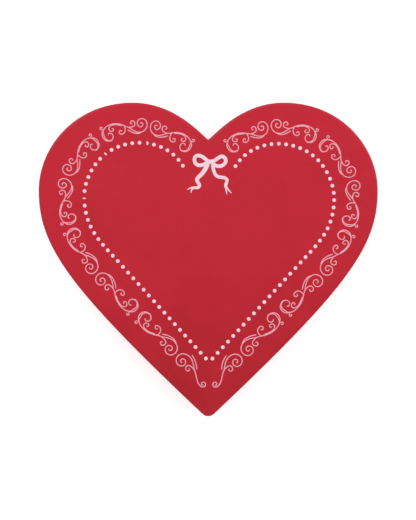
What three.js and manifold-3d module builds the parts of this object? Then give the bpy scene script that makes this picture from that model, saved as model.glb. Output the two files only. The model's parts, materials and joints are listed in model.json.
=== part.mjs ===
// Heart-shaped wind-up music box with a hinged lid, built piece by piece.
// Millimetres, +Z up. The origin is the centre of the box's footprint on the table. The heart's point
// looks along -Y, and the lid turns on two butt hinges at the tops of the lobes, along +Y.
import * as THREE from "three";
import { mergeVertices } from "three/addons/utils/BufferGeometryUtils.js";
import Module from "manifold-3d";

const wasm = await Module();
wasm.setup();

// ---------------------------------------------------------------- driving dimensions

// Heart outline of the lid's top, right half.
const NOTCH_Y = 56.5; // bottom of the notch between the lobes
const LOBE_TOP = { x: 35.6, y: 74 };
const SIDE = { x: 80, y: 32.5 }; // widest point
const TIP_Y = -75.5; // corner of the point before it is rounded
const TIP_ROUND = 3.9;

// How far each outline lies inside the lid's outline.
const BASE_INSET = 1;
const WALL_OUTSET = 4; // outer face of the wall
const WALL_INSET = 10; // inner face of the wall, and of the lid's rim
const LINING_T = 1;

// Heights, stacked from the table.
const FOOT_H = 14;
const BASE_T = 5;
const WALL_H = 32;
const LID_GAP = 0.3;
const RIM_H = 8.7;
const PANEL_T = 5;
const BASE_TOP = FOOT_H + BASE_T;
const WALL_TOP = BASE_TOP + WALL_H;
const RIM_Z = WALL_TOP + LID_GAP;
const PANEL_Z = RIM_Z + RIM_H;

// Butt hinges.
const HINGE = { x: LOBE_TOP.x, y: 71.7, z: WALL_TOP + LID_GAP / 2 };
const HINGE_LEN = 16;
const KNUCKLE_R = 1.5;
const HINGE_PIN_R = 0.7;
const LEAF_T = 0.8;
const LEAF_FRONT = 64.9; // y of a leaf's front edge
const RUN = 0.06; // radial running clearance
const GAP = 0.3; // clearance between neighbours that don't touch

// Compartments.
const BAY_X = 30.5; // inner half width of the movement's bay
const BAY_FRONT = -12;
const DIVIDER_T = 3;
const DECK_Z = 44; // underside of the clear cover over the movement
const COVER_T = 2;

// Movement, in its own frame: x along the cylinder, y = 0 on the cylinder's axis, z = 0 under the bedplate.
const MOVEMENT = { x: 0, y: 16.5, z: BASE_TOP };
const PLATE_T = 3;
const PLATE = { x0: -28, x1: 30, y0: -27.4, y1: 22 }; // outline of the bedplate
const SEAT = { x0: 2, x1: 22.2 }; // the comb's seat
const GOV_FOOT_T = 1.6;
const GOV_SCREW = { x: 16.6, y: 15.2 };
const AXIS_Z = 12; // height of the cylinder's axis
const DRUM_X = -13; // x of the spring drum's axis
const CYL = { x0: 2.6, x1: 21.6, r: 6.5 };
const PIN_H = 0.7;
const TRACKS = 18; // notes
const TRACK_PITCH = 1;
const TRACK_0 = 3.6; // x of the first note's track
const ARBOR_R = 1;
const CROWN = { teeth: 32, module: 0.75, r: 12, r0: 11, r1: 13 };
const DRUM_PINION = { teeth: 8, module: 0.75, x0: -2.2, x1: 0.2 };
const BULL = { teeth: 32, module: 0.5, x0: 22, x1: 23 };
const GOV_PINION = { teeth: 8, module: 0.5 };
const GOV_WHEEL = { teeth: 20, module: 0.5, x0: 23.6, x1: 24.8 };
const GOV_Y = ((BULL.teeth + GOV_PINION.teeth) * BULL.module) / 2;
const GOV_ARBOR_R = 0.6;
const WORM_R = 1.25; // pitch radius
const WORM_STARTS = 2;
const WORM = {
  x: (GOV_WHEEL.x0 + GOV_WHEEL.x1) / 2,
  y: GOV_Y + (GOV_WHEEL.teeth * GOV_WHEEL.module) / 2 + WORM_R,
};
const DRUM = { r: 10.2, z0: 4.2, z1: 15.2, wall: 0.8 };
const WIND_R = 2; // winding arbor
const WIND_TOP_R = 1.5;
const BRIDGE = { z: 17, t: 1.5, halfWidth: 5, pillarY: 16.2 };
const RATCHET = { teeth: 12, r: 5, root: 4.1, z0: 18.9, z1: 20.3 };
const FLY = { z0: 17.8, z1: 20 }; // clears the top of the governor's wheel
const STOP = { x: 12, y: WORM.y + 3.2, r: 1, top: 33.95 };
const WALL_X = { left: 0.8, right: 25.6, t: 1.2 }; // the bedplate's bearing walls

// Feet and key.
const FEET = { foot_left: [-42, 38], foot_right: [42, 38], foot_front: [0, -52] };
const FOOT_R = 8;
const KEY = { top: 13.3, slotTop: 9.4, bottom: 2.2, halfWidth: 12, t: 1.4, stemR: 2.6 };

// ---------------------------------------------------------------- solids

/** A closed geometry as a manifold solid. */
function solid(geometry) {
  const bare = geometry.index ? geometry.clone() : geometry;
  bare.deleteAttribute("normal");
  bare.deleteAttribute("uv");
  const merged = mergeVertices(bare, 1e-4);
  return new wasm.Manifold(
    new wasm.Mesh({
      numProp: 3,
      vertProperties: merged.attributes.position.array,
      triVerts: new Uint32Array(merged.index.array),
    }),
  );
}

/** A manifold solid as a geometry that three.js draws with flat faces. */
function geometryOf(made) {
  const mesh = made.getMesh();
  const geometry = new THREE.BufferGeometry();
  geometry.setAttribute("position", new THREE.BufferAttribute(mesh.vertProperties, 3));
  geometry.setIndex(new THREE.BufferAttribute(mesh.triVerts, 1));
  const flat = geometry.toNonIndexed();
  flat.computeVertexNormals();
  return flat;
}

const join = (...pieces) => pieces.reduce((all, next) => all.add(next));
const cut = (base, ...tools) => tools.reduce((left, tool) => left.subtract(tool), base);

/** A box between two corners. */
function box(x0, x1, y0, y1, z0, z1) {
  const geometry = new THREE.BoxGeometry(x1 - x0, y1 - y0, z1 - z0);
  return solid(geometry.translate((x0 + x1) / 2, (y0 + y1) / 2, (z0 + z1) / 2));
}

/** A round bar along Z from z0 to z1, its top radius r1 where it tapers. */
function post(x, y, z0, z1, r, sides = 20, r1 = r) {
  const geometry = new THREE.CylinderGeometry(r1, r, z1 - z0, sides).rotateX(Math.PI / 2);
  return solid(geometry.translate(x, y, (z0 + z1) / 2));
}

/** A round bar along X from x0 to x1. */
function shaft(y, z, x0, x1, r, sides = 20) {
  const geometry = new THREE.CylinderGeometry(r, r, x1 - x0, sides).rotateZ(Math.PI / 2);
  return solid(geometry.translate((x0 + x1) / 2, y, z));
}

/** A flat outline, given counter-clockwise, extruded along Z from z0 to z1. */
function slab(points, z0, z1, steps = 1) {
  const depth = z1 - z0;
  const shape = new THREE.Shape(points);
  const options = { depth, steps, bevelEnabled: false, curveSegments: 8 };
  return solid(new THREE.ExtrudeGeometry(shape, options).translate(0, 0, z0));
}

/** An outline drawn in the y-z plane, extruded along X from x0 to x1. */
function slabX(points, x0, x1) {
  const shape = new THREE.Shape(points);
  const geometry = new THREE.ExtrudeGeometry(shape, { depth: x1 - x0, bevelEnabled: false });
  geometry.applyMatrix4(new THREE.Matrix4().set(0, 0, 1, 0, 1, 0, 0, 0, 0, 1, 0, 0, 0, 0, 0, 1));
  return solid(geometry.translate(x0, 0, 0));
}

/** A turned solid about Z from [radius, height] pairs that start and end on the axis. */
function turned(profile, sides = 24) {
  const points = profile.map(([r, z]) => new THREE.Vector2(r, z));
  return solid(new THREE.LatheGeometry(points, sides).rotateX(Math.PI / 2));
}

const rectangle = (x0, x1, y0, y1) => [
  new THREE.Vector2(x0, y0),
  new THREE.Vector2(x1, y0),
  new THREE.Vector2(x1, y1),
  new THREE.Vector2(x0, y1),
];

// ---------------------------------------------------------------- the heart's outline

/** The right half of the lid's outline, from the notch over the lobe to the point. */
function heartHalf() {
  const path = new THREE.Path().moveTo(0, NOTCH_Y);
  path.bezierCurveTo(4, 59.7, 16, LOBE_TOP.y, LOBE_TOP.x, LOBE_TOP.y);
  path.bezierCurveTo(63, LOBE_TOP.y, SIDE.x, 53, SIDE.x, SIDE.y);
  path.bezierCurveTo(SIDE.x, 5.8, 65.6, -13.7, 0, TIP_Y);
  return path;
}

/** The closed heart that lies inset inside the lid's outline, counter-clockwise, its point rounded. */
function heart(inset = 0) {
  const samples = [7, 9, 14]; // for each of the three curves
  const half = [];
  let centre = null;
  heartHalf().curves.forEach((curve, i) => {
    for (let k = i ? 1 : 0; k <= samples[i] && !centre; k++) {
      const t = k / samples[i];
      const at = curve.getPoint(t);
      const along = curve.getTangent(t);
      const inward = new THREE.Vector2(along.y, -along.x);
      const point = at.clone().addScaledVector(inward, inset);
      const middle = at.clone().addScaledVector(inward, inset + TIP_ROUND);
      if (!half.length) point.addScaledVector(along, -point.x / along.x); // meets its mirror image
      if (middle.x < 0 || (i === 2 && k === samples[i])) centre = { middle, inward };
      else half.push(point);
    }
  });
  // The point's arc turns about a centre on the axis of symmetry.
  const arcY = centre.middle.y + (centre.middle.x * centre.inward.x) / centre.inward.y;
  const start = Math.atan2(-centre.inward.y, -centre.inward.x);
  for (let k = 0; k < 3; k++) {
    const a = start + ((-Math.PI / 2 - start) * k) / 3;
    half.push(new THREE.Vector2(TIP_ROUND * Math.cos(a), arcY + TIP_ROUND * Math.sin(a)));
  }
  const tip = new THREE.Vector2(0, arcY - TIP_ROUND);
  const mirrored = half.slice(1).map((p) => new THREE.Vector2(-p.x, p.y));
  return [half[0], ...mirrored, tip, ...half.slice(1).reverse()];
}

const heartSlab = (inset, z0, z1) => slab(heart(inset), z0, z1);

/** A heart-shaped ring between two insets. */
const heartRing = (outer, inner, z0, z1) =>
  heartSlab(outer, z0, z1).subtract(heartSlab(inner, z0 - 1, z1 + 1));

// ---------------------------------------------------------------- gears

/** Involute spur gear outline about the origin, with tooth 0 centred at angle phase. */
function gearOutline({ teeth, module }, phase = 0, fill = 0.4) {
  const pitch = (teeth * module) / 2;
  const base = pitch * Math.cos(THREE.MathUtils.degToRad(20));
  const tip = pitch + 0.9 * module;
  const root = pitch - 1.15 * module;
  const involute = (r) => {
    const a = Math.acos(Math.min(1, base / Math.max(r, base)));
    return Math.tan(a) - a;
  };
  const half = (r) => (fill * Math.PI) / teeth + involute(pitch) - involute(r);
  const flank = [root, tip];
  const points = [];
  for (let i = 0; i < teeth; i++) {
    const centre = phase + (2 * Math.PI * i) / teeth;
    const put = (r, a) => points.push(new THREE.Vector2(r * Math.cos(a), r * Math.sin(a)));
    flank.forEach((r) => put(r, centre - half(r)));
    [...flank].reverse().forEach((r) => put(r, centre + half(r)));
  }
  return points;
}

/** Shifts an outline. */
const moved = (points, dx, dy) => points.map((p) => new THREE.Vector2(p.x + dx, p.y + dy));

/** Twists a solid about the line y, z along X, by slope radians per millimetre from x. */
function twisted(made, x, y, z, slope) {
  return made.warp((v) => {
    const a = slope * (v[0] - x);
    const [dy, dz] = [v[1] - y, v[2] - z];
    v[1] = y + dy * Math.cos(a) - dz * Math.sin(a);
    v[2] = z + dy * Math.sin(a) + dz * Math.cos(a);
  });
}

/** One helical thread about Z: a trapezoid carried along a right-hand helix. */
function thread(z0, z1, lead, startAngle, r0, r1, halfRoot, halfTip) {
  const steps = Math.ceil(((z1 - z0) / lead) * 14);
  const positions = [];
  for (let i = 0; i <= steps; i++) {
    const z = z0 + ((z1 - z0) * i) / steps;
    const a = startAngle + (2 * Math.PI * (z - z0)) / lead;
    const corners = [[r0, -halfRoot], [r1, -halfTip], [r1, halfTip], [r0, halfRoot]];
    corners.forEach(([r, dz]) => positions.push(r * Math.cos(a), r * Math.sin(a), z + dz));
  }
  const index = [];
  for (let i = 0; i < steps; i++) {
    for (let k = 0; k < 4; k++) {
      const [a, b] = [4 * i + k, 4 * i + ((k + 1) % 4)];
      index.push(a, b, b + 4, a, b + 4, a + 4);
    }
  }
  const end = 4 * steps;
  index.push(0, 3, 2, 0, 2, 1, end, end + 1, end + 2, end, end + 2, end + 3);
  const geometry = new THREE.BufferGeometry();
  geometry.setAttribute("position", new THREE.Float32BufferAttribute(positions, 3));
  geometry.setIndex(index.reverse());
  return solid(geometry);
}

// ---------------------------------------------------------------- materials

const finish = (color, roughness, metalness = 0) =>
  new THREE.MeshStandardMaterial({ color, roughness, metalness });
const redLacquer = finish(0xc12d3a, 0.5);
const velvet = finish(0xe9b9c4, 0.95);
const brass = finish(0xc9a14e, 0.35, 1);
const steel = finish(0xb9bcc0, 0.3, 1);
const blued = finish(0x5f656d, 0.35, 1);
const zinc = finish(0x9c9ea1, 0.45, 1);
const mirrorGlass = finish(0xdfe4e8, 0.03, 1);
const acrylic = new THREE.MeshStandardMaterial({
  color: 0xf2f6f8,
  roughness: 0.08,
  transparent: true,
  opacity: 0.3,
});

const musicBox = new THREE.Group();
const lid = new THREE.Group();
lid.position.set(0, HINGE.y, HINGE.z);
const movement = new THREE.Group();
movement.position.set(MOVEMENT.x, MOVEMENT.y, MOVEMENT.z);
musicBox.add(lid, movement);
musicBox.updateMatrixWorld(true);

/** Adds a named piece to the box, in the box's own frame. */
function piece(name, made, material, group = musicBox) {
  const mesh = new THREE.Mesh(geometryOf(made), material);
  mesh.name = name;
  if (group === lid) mesh.position.set(-lid.position.x, -lid.position.y, -lid.position.z);
  group.add(mesh);
}

/** A screw along Z: a head with a slot, and a shank that points down from it, or up when up is -1. */
function screw(x, y, seat, { headR, headH, shankR, shankL }, up = 1) {
  const head = up > 0 ? [seat, seat + headH] : [seat - headH, seat];
  const shank = up > 0 ? [seat - shankL, seat + headH / 2] : [seat - headH / 2, seat + shankL];
  const slotZ = up > 0 ? [seat + headH * 0.55, seat + headH + 1] : [seat - headH - 1, seat - headH * 0.55];
  const whole = join(post(x, y, ...head, headR, 16), post(x, y, ...shank, shankR, 12));
  const half = SLOT_WIDTH / 2;
  return cut(whole, box(x - headR - 1, x + headR + 1, y - half, y + half, ...slotZ));
}

// ---------------------------------------------------------------- screws

const SLOT_WIDTH = 0.5;
const SCREWS = {
  mount: { headR: 3, headH: 1.6, shankR: 1.4, shankL: BASE_T + 2.6 },
  cover: { headR: 1.7, headH: 1, shankR: 0.8, shankL: 7 },
  comb: { headR: 2, headH: 1.2, shankR: 1, shankL: 6.5 },
  bridge: { headR: 2, headH: 1.2, shankR: 1, shankL: 6 },
  governor: { headR: 1.5, headH: 1, shankR: 0.8, shankL: 3.4 },
  click: { headR: 1.4, headH: 0.8, shankR: 0.8, shankL: 3.4 },
};

// ---------------------------------------------------------------- case

const MOUNT_SCREWS = [[-24, 16], [25, -22]]; // in the movement's frame
const COVER_SCREWS = { left: [-32, 20], right: [32, 20] };
const WIND = { x: DRUM_X, y: MOVEMENT.y };

/** Base board with the key's hole and the holes for the movement's screws. */
function baseBoard() {
  const holes = MOUNT_SCREWS.map(([x, y]) => post(x, y + MOVEMENT.y, 0, 99, 1.7, 16));
  const keyHole = post(WIND.x, WIND.y, 0, 99, 5, 24);
  return cut(heartSlab(BASE_INSET, FOOT_H, BASE_TOP), keyHole, ...holes);
}

/** Wall, with a mortise in its top edge for each hinge's lower leaf. */
function wall() {
  const mortises = [-1, 1].map((side) => {
    const half = HINGE_LEN / 2 + GAP;
    const x = side * HINGE.x;
    return box(x - half, x + half, LEAF_FRONT - GAP, 80, WALL_TOP - LEAF_T, WALL_TOP + 1);
  });
  return cut(heartRing(WALL_OUTSET, WALL_INSET, BASE_TOP, WALL_TOP), ...mortises);
}

/** The lid's rim, let in for the hinges' upper leaves and knuckles. */
function lidRim() {
  const cuts = [-1, 1].flatMap((side) => {
    const half = HINGE_LEN / 2 + GAP;
    const x = side * HINGE.x;
    return [
      box(x - half, x + half, LEAF_FRONT - GAP, 80, RIM_Z - 1, RIM_Z + LEAF_T),
      box(x - half, x + half, HINGE.y - KNUCKLE_R - GAP, 80, RIM_Z - 1, HINGE.z + KNUCKLE_R + GAP),
    ];
  });
  return cut(heartRing(0, WALL_INSET, RIM_Z, PANEL_Z), ...cuts);
}

piece("base_board", baseBoard(), redLacquer);
piece("side_wall", wall(), redLacquer);
piece("lid_panel", heartSlab(0, PANEL_Z, PANEL_Z + PANEL_T), redLacquer, lid);
piece("lid_rim", lidRim(), redLacquer, lid);

// The lid is filled by a padded lining, with a small heart-shaped mirror let into it.
const MIRROR = { scale: 0.58, y: 3, z0: 53, t: 2 };
const LID_LINING_Z = 53.2;

/** The mirror's outline, grown all round. */
function mirrorHeart(grow = 0) {
  const { scale, y } = MIRROR;
  return heart(-grow / scale).map((p) => new THREE.Vector2(p.x * scale, p.y * scale + y));
}
const mirrorPocket = slab(mirrorHeart(GAP), LID_LINING_Z - 1, MIRROR.z0 + MIRROR.t);
const lidPad = heartSlab(WALL_INSET + GAP, LID_LINING_Z, PANEL_Z);
piece("lid_lining", cut(lidPad, mirrorPocket), velvet, lid);
piece("mirror", slab(mirrorHeart(), MIRROR.z0, MIRROR.z0 + MIRROR.t), mirrorGlass, lid);

// Turned feet.
const FOOT_PROFILE = [
  [0, 0],
  [4.6, 0],
  [6.9, 1.8],
  [FOOT_R, 5],
  [6.9, 8.6],
  [4.7, 10.6],
  [4.7, 11.6],
  [6.4, 12.2],
  [6.4, FOOT_H],
  [0, FOOT_H],
];
for (const [name, [x, y]] of Object.entries(FEET)) {
  piece(name, turned(FOOT_PROFILE, 18).translate([x, y, 0]), redLacquer);
}

// ---------------------------------------------------------------- hinges

/** One leaf with its knuckles; the lower leaf has the two outer ones. */
function hingeLeaf(side, upper) {
  const x = side * HINGE.x;
  const half = HINGE_LEN / 2;
  const middle = 2.8; // half length of the middle knuckle
  const gap = 0.2;
  const spans = upper
    ? [[-middle, middle]]
    : [[-half, -middle - gap], [middle + gap, half]];
  const z0 = upper ? RIM_Z : WALL_TOP - LEAF_T;
  const back = HINGE.y - KNUCKLE_R - GAP / 3; // the plate stops short of the other leaf's knuckle
  const plate = box(x - half, x + half, LEAF_FRONT, back, z0, z0 + LEAF_T);
  const made = spans.map(([a, b]) =>
    join(
      shaft(HINGE.y, HINGE.z, x + a, x + b, KNUCKLE_R, 20),
      box(x + a, x + b, back - 0.5, HINGE.y - 0.9, z0, z0 + LEAF_T),
    ),
  );
  return cut(join(plate, ...made), shaft(HINGE.y, HINGE.z, x - 10, x + 10, HINGE_PIN_R + RUN, 20));
}

/** The pin, with a head at each end. */
function hingePin(side) {
  const x = side * HINGE.x;
  const half = HINGE_LEN / 2;
  const heads = [-1, 1].map((end) => {
    const a = x + end * (half + 0.05);
    const b = x + end * (half + 0.25);
    return shaft(HINGE.y, HINGE.z, Math.min(a, b), Math.max(a, b), 1.1, 20);
  });
  const stem = shaft(HINGE.y, HINGE.z, x - half - 0.2, x + half + 0.2, HINGE_PIN_R, 20);
  return join(stem, ...heads);
}

for (const [label, side] of [["left", -1], ["right", 1]]) {
  piece(`hinge_${label}_lower_leaf`, hingeLeaf(side, false), brass);
  piece(`hinge_${label}_upper_leaf`, hingeLeaf(side, true), brass, lid);
  piece(`hinge_${label}_pin`, hingePin(side), brass);
}

// ---------------------------------------------------------------- compartments

const INSIDE = WALL_INSET + LINING_T;
const insideHeart = heartSlab(INSIDE + GAP / 2, 0, 99);
const inside = (made) => made.intersect(insideHeart);
const bayOuter = BAY_X + DIVIDER_T;

piece("wall_lining", heartRing(WALL_INSET, INSIDE, BASE_TOP, WALL_TOP - 1), velvet);
const frontWall = box(-80, 80, BAY_FRONT - DIVIDER_T, BAY_FRONT, BASE_TOP, DECK_Z);
piece("divider_front", inside(frontWall), velvet);
for (const [label, side] of [["left", -1], ["right", 1]]) {
  const [a, b] = side < 0 ? [-bayOuter, -BAY_X] : [BAY_X, bayOuter];
  const bar = inside(box(a, b, BAY_FRONT, 80, BASE_TOP, DECK_Z));
  const [x, y] = COVER_SCREWS[label];
  piece(`divider_${label}`, cut(bar, post(x, y, DECK_Z - 6, DECK_Z + 1, 0.85, 12)), velvet);
}

// Padded floors of the three compartments.
const PAD_T = 3;
const padSpace = heartSlab(INSIDE + GAP, 0, 99);
const frontPad = box(-80, 80, -80, BAY_FRONT - DIVIDER_T - GAP, BASE_TOP, BASE_TOP + PAD_T);
piece("floor_pad_front", frontPad.intersect(padSpace), velvet);
for (const [label, side] of [["left", -1], ["right", 1]]) {
  const [a, b] = side < 0 ? [-80, -bayOuter - GAP] : [bayOuter + GAP, 80];
  const pad = box(a, b, BAY_FRONT + GAP, 80, BASE_TOP, BASE_TOP + PAD_T);
  piece(`floor_pad_${label}`, pad.intersect(padSpace), velvet);
}

// Clear cover over the movement, with a hole for the stop rod.
const stopHole = post(STOP.x, STOP.y + MOVEMENT.y, 0, 99, STOP.r + 0.5, 16);
const coverHoles = Object.values(COVER_SCREWS).map(([x, y]) => post(x, y, 0, 99, 1, 12));
const coverBlank = box(-bayOuter, bayOuter, BAY_FRONT - DIVIDER_T, 80, DECK_Z, DECK_Z + COVER_T);
const coverPlate = coverBlank.intersect(heartSlab(INSIDE + GAP, 0, 99));
piece("movement_cover", cut(coverPlate, stopHole, ...coverHoles), acrylic);
for (const [label, [x, y]] of Object.entries(COVER_SCREWS)) {
  piece(`cover_screw_${label}`, screw(x, y, DECK_Z + COVER_T, SCREWS.cover), brass);
}

// ---------------------------------------------------------------- movement: bedplate and comb

const COMB = { y0: -26.4, tipY: -7.4, z0: AXIS_Z - 0.6, z1: AXIS_Z + 0.6, rootY: -20.4, x0: 3.1 };
const COMB_SCREW_X = [6.6, 17.6];
const COMB_SCREW_Y = -23.6;

/** The cast bedplate: plate, comb seat and the two walls that carry the arbors. */
function bedplate() {
  const { left, right, t } = WALL_X;
  const plate = box(PLATE.x0, PLATE.x1, PLATE.y0, PLATE.y1, 0, PLATE_T);
  const combSeat = box(SEAT.x0, SEAT.x1, COMB.y0 - 0.4, COMB.rootY, PLATE_T - 1, COMB.z0);
  const arch = (halfWidth, y1, top) => [
    new THREE.Vector2(-halfWidth - 1.5, PLATE_T - 1),
    new THREE.Vector2(y1 + 1.5, PLATE_T - 1),
    new THREE.Vector2(y1, top - 2),
    new THREE.Vector2(y1 - 1.2, top),
    new THREE.Vector2(-halfWidth + 1.2, top),
    new THREE.Vector2(-halfWidth, top - 2),
  ];
  const leftWall = slabX(arch(3, 3, AXIS_Z + 3), left, left + t);
  const rightWall = slabX(arch(3, GOV_Y + 2, AXIS_Z + 2.6), right, right + t);
  const bores = [
    shaft(0, AXIS_Z, left - 1, right + t + 1, ARBOR_R + RUN),
    shaft(GOV_Y, AXIS_Z, right - 1, right + t + 1, GOV_ARBOR_R + RUN, 16),
    post(DRUM_X, 0, -1, PLATE_T + 1, WIND_R + RUN),
    post(STOP.x, STOP.y, -1, PLATE_T + 1, STOP.r + RUN, 16),
    ...MOUNT_SCREWS.map(([x, y]) => post(x, y, -1, PLATE_T + 1, 1.5, 16)),
    ...COMB_SCREW_X.map((x) => post(x, COMB_SCREW_Y, 5, COMB.z0 + 1, 1.05, 12)),
    post(GOV_SCREW.x, GOV_SCREW.y, 1, PLATE_T + 1, 0.85, 12),
  ];
  return cut(join(plate, combSeat, leftWall, rightWall), ...bores);
}

/** The steel comb: one tine for each note, longest in the bass. */
function comb() {
  const tineWidth = 0.78;
  const points = [new THREE.Vector2(COMB.x0 - 0.4, COMB.y0)];
  const rightEnd = COMB.x0 + TRACKS * TRACK_PITCH;
  points.push(new THREE.Vector2(rightEnd + 0.4, COMB.y0));
  points.push(new THREE.Vector2(rightEnd + 0.4, COMB.rootY + 4.6));
  for (let i = TRACKS - 1; i >= 0; i--) {
    const x = TRACK_0 + i * TRACK_PITCH;
    const root = COMB.rootY + 0.4 + (i / (TRACKS - 1)) * 4.2; // treble tines are shorter
    points.push(new THREE.Vector2(x + tineWidth / 2, root));
    points.push(new THREE.Vector2(x + tineWidth / 2, COMB.tipY));
    points.push(new THREE.Vector2(x - tineWidth / 2, COMB.tipY));
    points.push(new THREE.Vector2(x - tineWidth / 2, root));
  }
  points.push(new THREE.Vector2(COMB.x0 - 0.4, COMB.rootY));
  const holes = COMB_SCREW_X.map((x) => post(x, COMB_SCREW_Y, 0, 30, 1.2, 12));
  return cut(slab(points, COMB.z0, COMB.z1), ...holes);
}

piece("bedplate", bedplate(), zinc, movement);
piece("comb", comb(), steel, movement);
COMB_SCREW_X.forEach((x, i) => {
  piece(`comb_screw_${i + 1}`, screw(x, COMB_SCREW_Y, COMB.z1, SCREWS.comb), blued, movement);
});
MOUNT_SCREWS.forEach(([x, y], i) => {
  piece(`mount_screw_${i + 1}`, screw(x, y, -BASE_T, SCREWS.mount, -1), steel, movement);
});

// ---------------------------------------------------------------- movement: cylinder and its gears

/** The brass cylinder with its pins, which follow a short repeating figure round each track. */
function pinnedCylinder() {
  const body = cut(
    shaft(0, AXIS_Z, CYL.x0, CYL.x1, CYL.r, 36),
    shaft(0, AXIS_Z, CYL.x0 - 1, CYL.x1 + 1, ARBOR_R + 0.04, 20),
  );
  const steps = 24; // places round the cylinder where a note may stand
  const pins = [];
  for (let track = 0; track < TRACKS; track++) {
    for (let beat = 0; beat < steps; beat++) {
      if ((beat * 5 + track * 7 + (track % 3) * beat) % 11 !== 3) continue;
      const pin = box(-0.18, 0.18, -0.18, 0.18, CYL.r - 0.5, CYL.r + PIN_H);
      const turn = (beat * 360) / steps + 3 * (track % 2);
      const x = TRACK_0 + track * TRACK_PITCH;
      pins.push(pin.rotate([turn, 0, 0]).translate([x, 0, AXIS_Z]));
    }
  }
  return join(body, ...pins);
}

const halfTooth = (gear) => Math.PI / gear.teeth;
const onAxis = (gear, phase, y) => moved(gearOutline(gear, phase), y, AXIS_Z);
const arborHole = shaft(0, AXIS_Z, -9, 40, ARBOR_R + 0.04, 20);

piece("cylinder", pinnedCylinder(), brass, movement);
piece("cylinder_arbor", shaft(0, AXIS_Z, -2.6, 27.4, ARBOR_R), steel, movement);
const drivePinion = slabX(
  onAxis(DRUM_PINION, halfTooth(DRUM_PINION), 0),
  DRUM_PINION.x0,
  DRUM_PINION.x1,
);
piece("drive_pinion", cut(drivePinion, arborHole), brass, movement);
const bullGear = slabX(onAxis(BULL, 0, 0), BULL.x0, BULL.x1);
piece("cylinder_gear", cut(bullGear, arborHole), brass, movement);

// ---------------------------------------------------------------- movement: spring drum and winding

/** The drum: a cup with a crown wheel round its foot. */
function springDrum() {
  const { module, teeth, r0, r1 } = CROWN;
  const pitchZ = AXIS_Z - (DRUM_PINION.teeth * module) / 2;
  const [tipZ, rootZ] = [pitchZ + 0.8 * module, pitchZ - 1.05 * module];
  const halfAt = (z) => (0.38 * Math.PI * module) / 2 - (z - pitchZ) * Math.tan(0.35);
  const profile = [
    new THREE.Vector2(-halfAt(rootZ - 0.5), rootZ - 0.5),
    new THREE.Vector2(halfAt(rootZ - 0.5), rootZ - 0.5),
    new THREE.Vector2(halfAt(tipZ), tipZ),
    new THREE.Vector2(-halfAt(tipZ), tipZ),
  ];
  const tooth = slabX(profile, r0, r1);
  const flange = post(0, 0, rootZ - 1.3, rootZ, r1, 32);
  const cup = post(0, 0, DRUM.z0, DRUM.z1, DRUM.r, 32);
  const hollow = post(0, 0, DRUM.z0 + 1, DRUM.z1 + 1, DRUM.r - DRUM.wall, 32);
  const crownTeeth = Array.from({ length: teeth }, (_, i) => tooth.rotate([0, 0, (i * 360) / teeth]));
  const whole = cut(join(flange, cup, ...crownTeeth), hollow, post(0, 0, 0, 30, WIND_R + RUN));
  return whole.translate([DRUM_X, 0, 0]);
}

/** The mainspring: a strip wound in a spiral from the arbor's hook to the drum's wall. */
function mainspring() {
  const [r0, r1, turns, perTurn, half] = [2.5, DRUM.r - DRUM.wall - 0.35, 6, 12, 0.15];
  const outer = [];
  const inner = [];
  for (let i = 0; i <= turns * perTurn; i++) {
    const a = (2 * Math.PI * i) / perTurn;
    const r = r0 + 0.3 + ((r1 - r0 - 0.3) * i) / (turns * perTurn);
    outer.push(new THREE.Vector2((r + half) * Math.cos(a), (r + half) * Math.sin(a)));
    inner.push(new THREE.Vector2((r - half) * Math.cos(a), (r - half) * Math.sin(a)));
  }
  const strip = slab([...outer, ...inner.reverse()], DRUM.z0 + 1.4, DRUM.z1 - 1.2);
  return strip.translate([DRUM_X, 0, 0]);
}

/** The winding arbor: journals for the bedplate, drum and bridge, and a square for the ratchet wheel. */
function windingArbor() {
  const square = 1.1;
  const keyThread = 1.5;
  const foot = KEY.slotTop + GAP - BASE_TOP; // the threaded end inside the key's stem
  const shoulder = -2;
  return join(
    post(DRUM_X, 0, foot, shoulder + 0.5, keyThread),
    post(DRUM_X, 0, shoulder, DRUM.z1 + 1.2, WIND_R),
    post(DRUM_X, 0, DRUM.z1 + 1, BRIDGE.z + BRIDGE.t + 0.2, WIND_TOP_R),
    box(DRUM_X - square, DRUM_X + square, -square, square, BRIDGE.z + BRIDGE.t, RATCHET.z1 + 0.5),
  );
}

/** Saw-toothed wheel on the arbor's square; the click lets it turn only counter-clockwise from above. */
function ratchetWheel() {
  const points = [];
  for (let i = 0; i < RATCHET.teeth; i++) {
    const a = (2 * Math.PI * i) / RATCHET.teeth;
    points.push(new THREE.Vector2(RATCHET.root * Math.cos(a), RATCHET.root * Math.sin(a)));
    points.push(new THREE.Vector2(RATCHET.r * Math.cos(a), RATCHET.r * Math.sin(a)));
  }
  const square = 1.15;
  const wheel = slab(points, RATCHET.z0, RATCHET.z1);
  return cut(wheel, box(-square, square, -square, square, 0, 30)).translate([DRUM_X, 0, 0]);
}

piece("spring_drum", springDrum(), steel, movement);
const drumCap = post(DRUM_X, 0, DRUM.z1 - 0.9, DRUM.z1 - 0.1, DRUM.r - DRUM.wall - 0.1, 32);
piece("drum_cap", cut(drumCap, post(DRUM_X, 0, 0, 30, WIND_R + RUN)), steel, movement);
piece("mainspring", mainspring(), blued, movement);
piece("winding_arbor", windingArbor(), steel, movement);
piece("ratchet_wheel", ratchetWheel(), steel, movement);

// The bridge over the drum, on two pillars.
const bridgeEnds = [-BRIDGE.pillarY, BRIDGE.pillarY];
const bridgeTop = BRIDGE.z + BRIDGE.t;
// The click and its spring are drawn with x along the click, from its nose, and y outward from the arbor.
const CLICK_TURN = 60;
const CLICK_PIVOT = [7, RATCHET.root + 0.25];
const SPRING_RIVET = [8.6, 7.6];
const placeClick = (made) => made.rotate([0, 0, CLICK_TURN]).translate([DRUM_X, 0, 0]);

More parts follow.
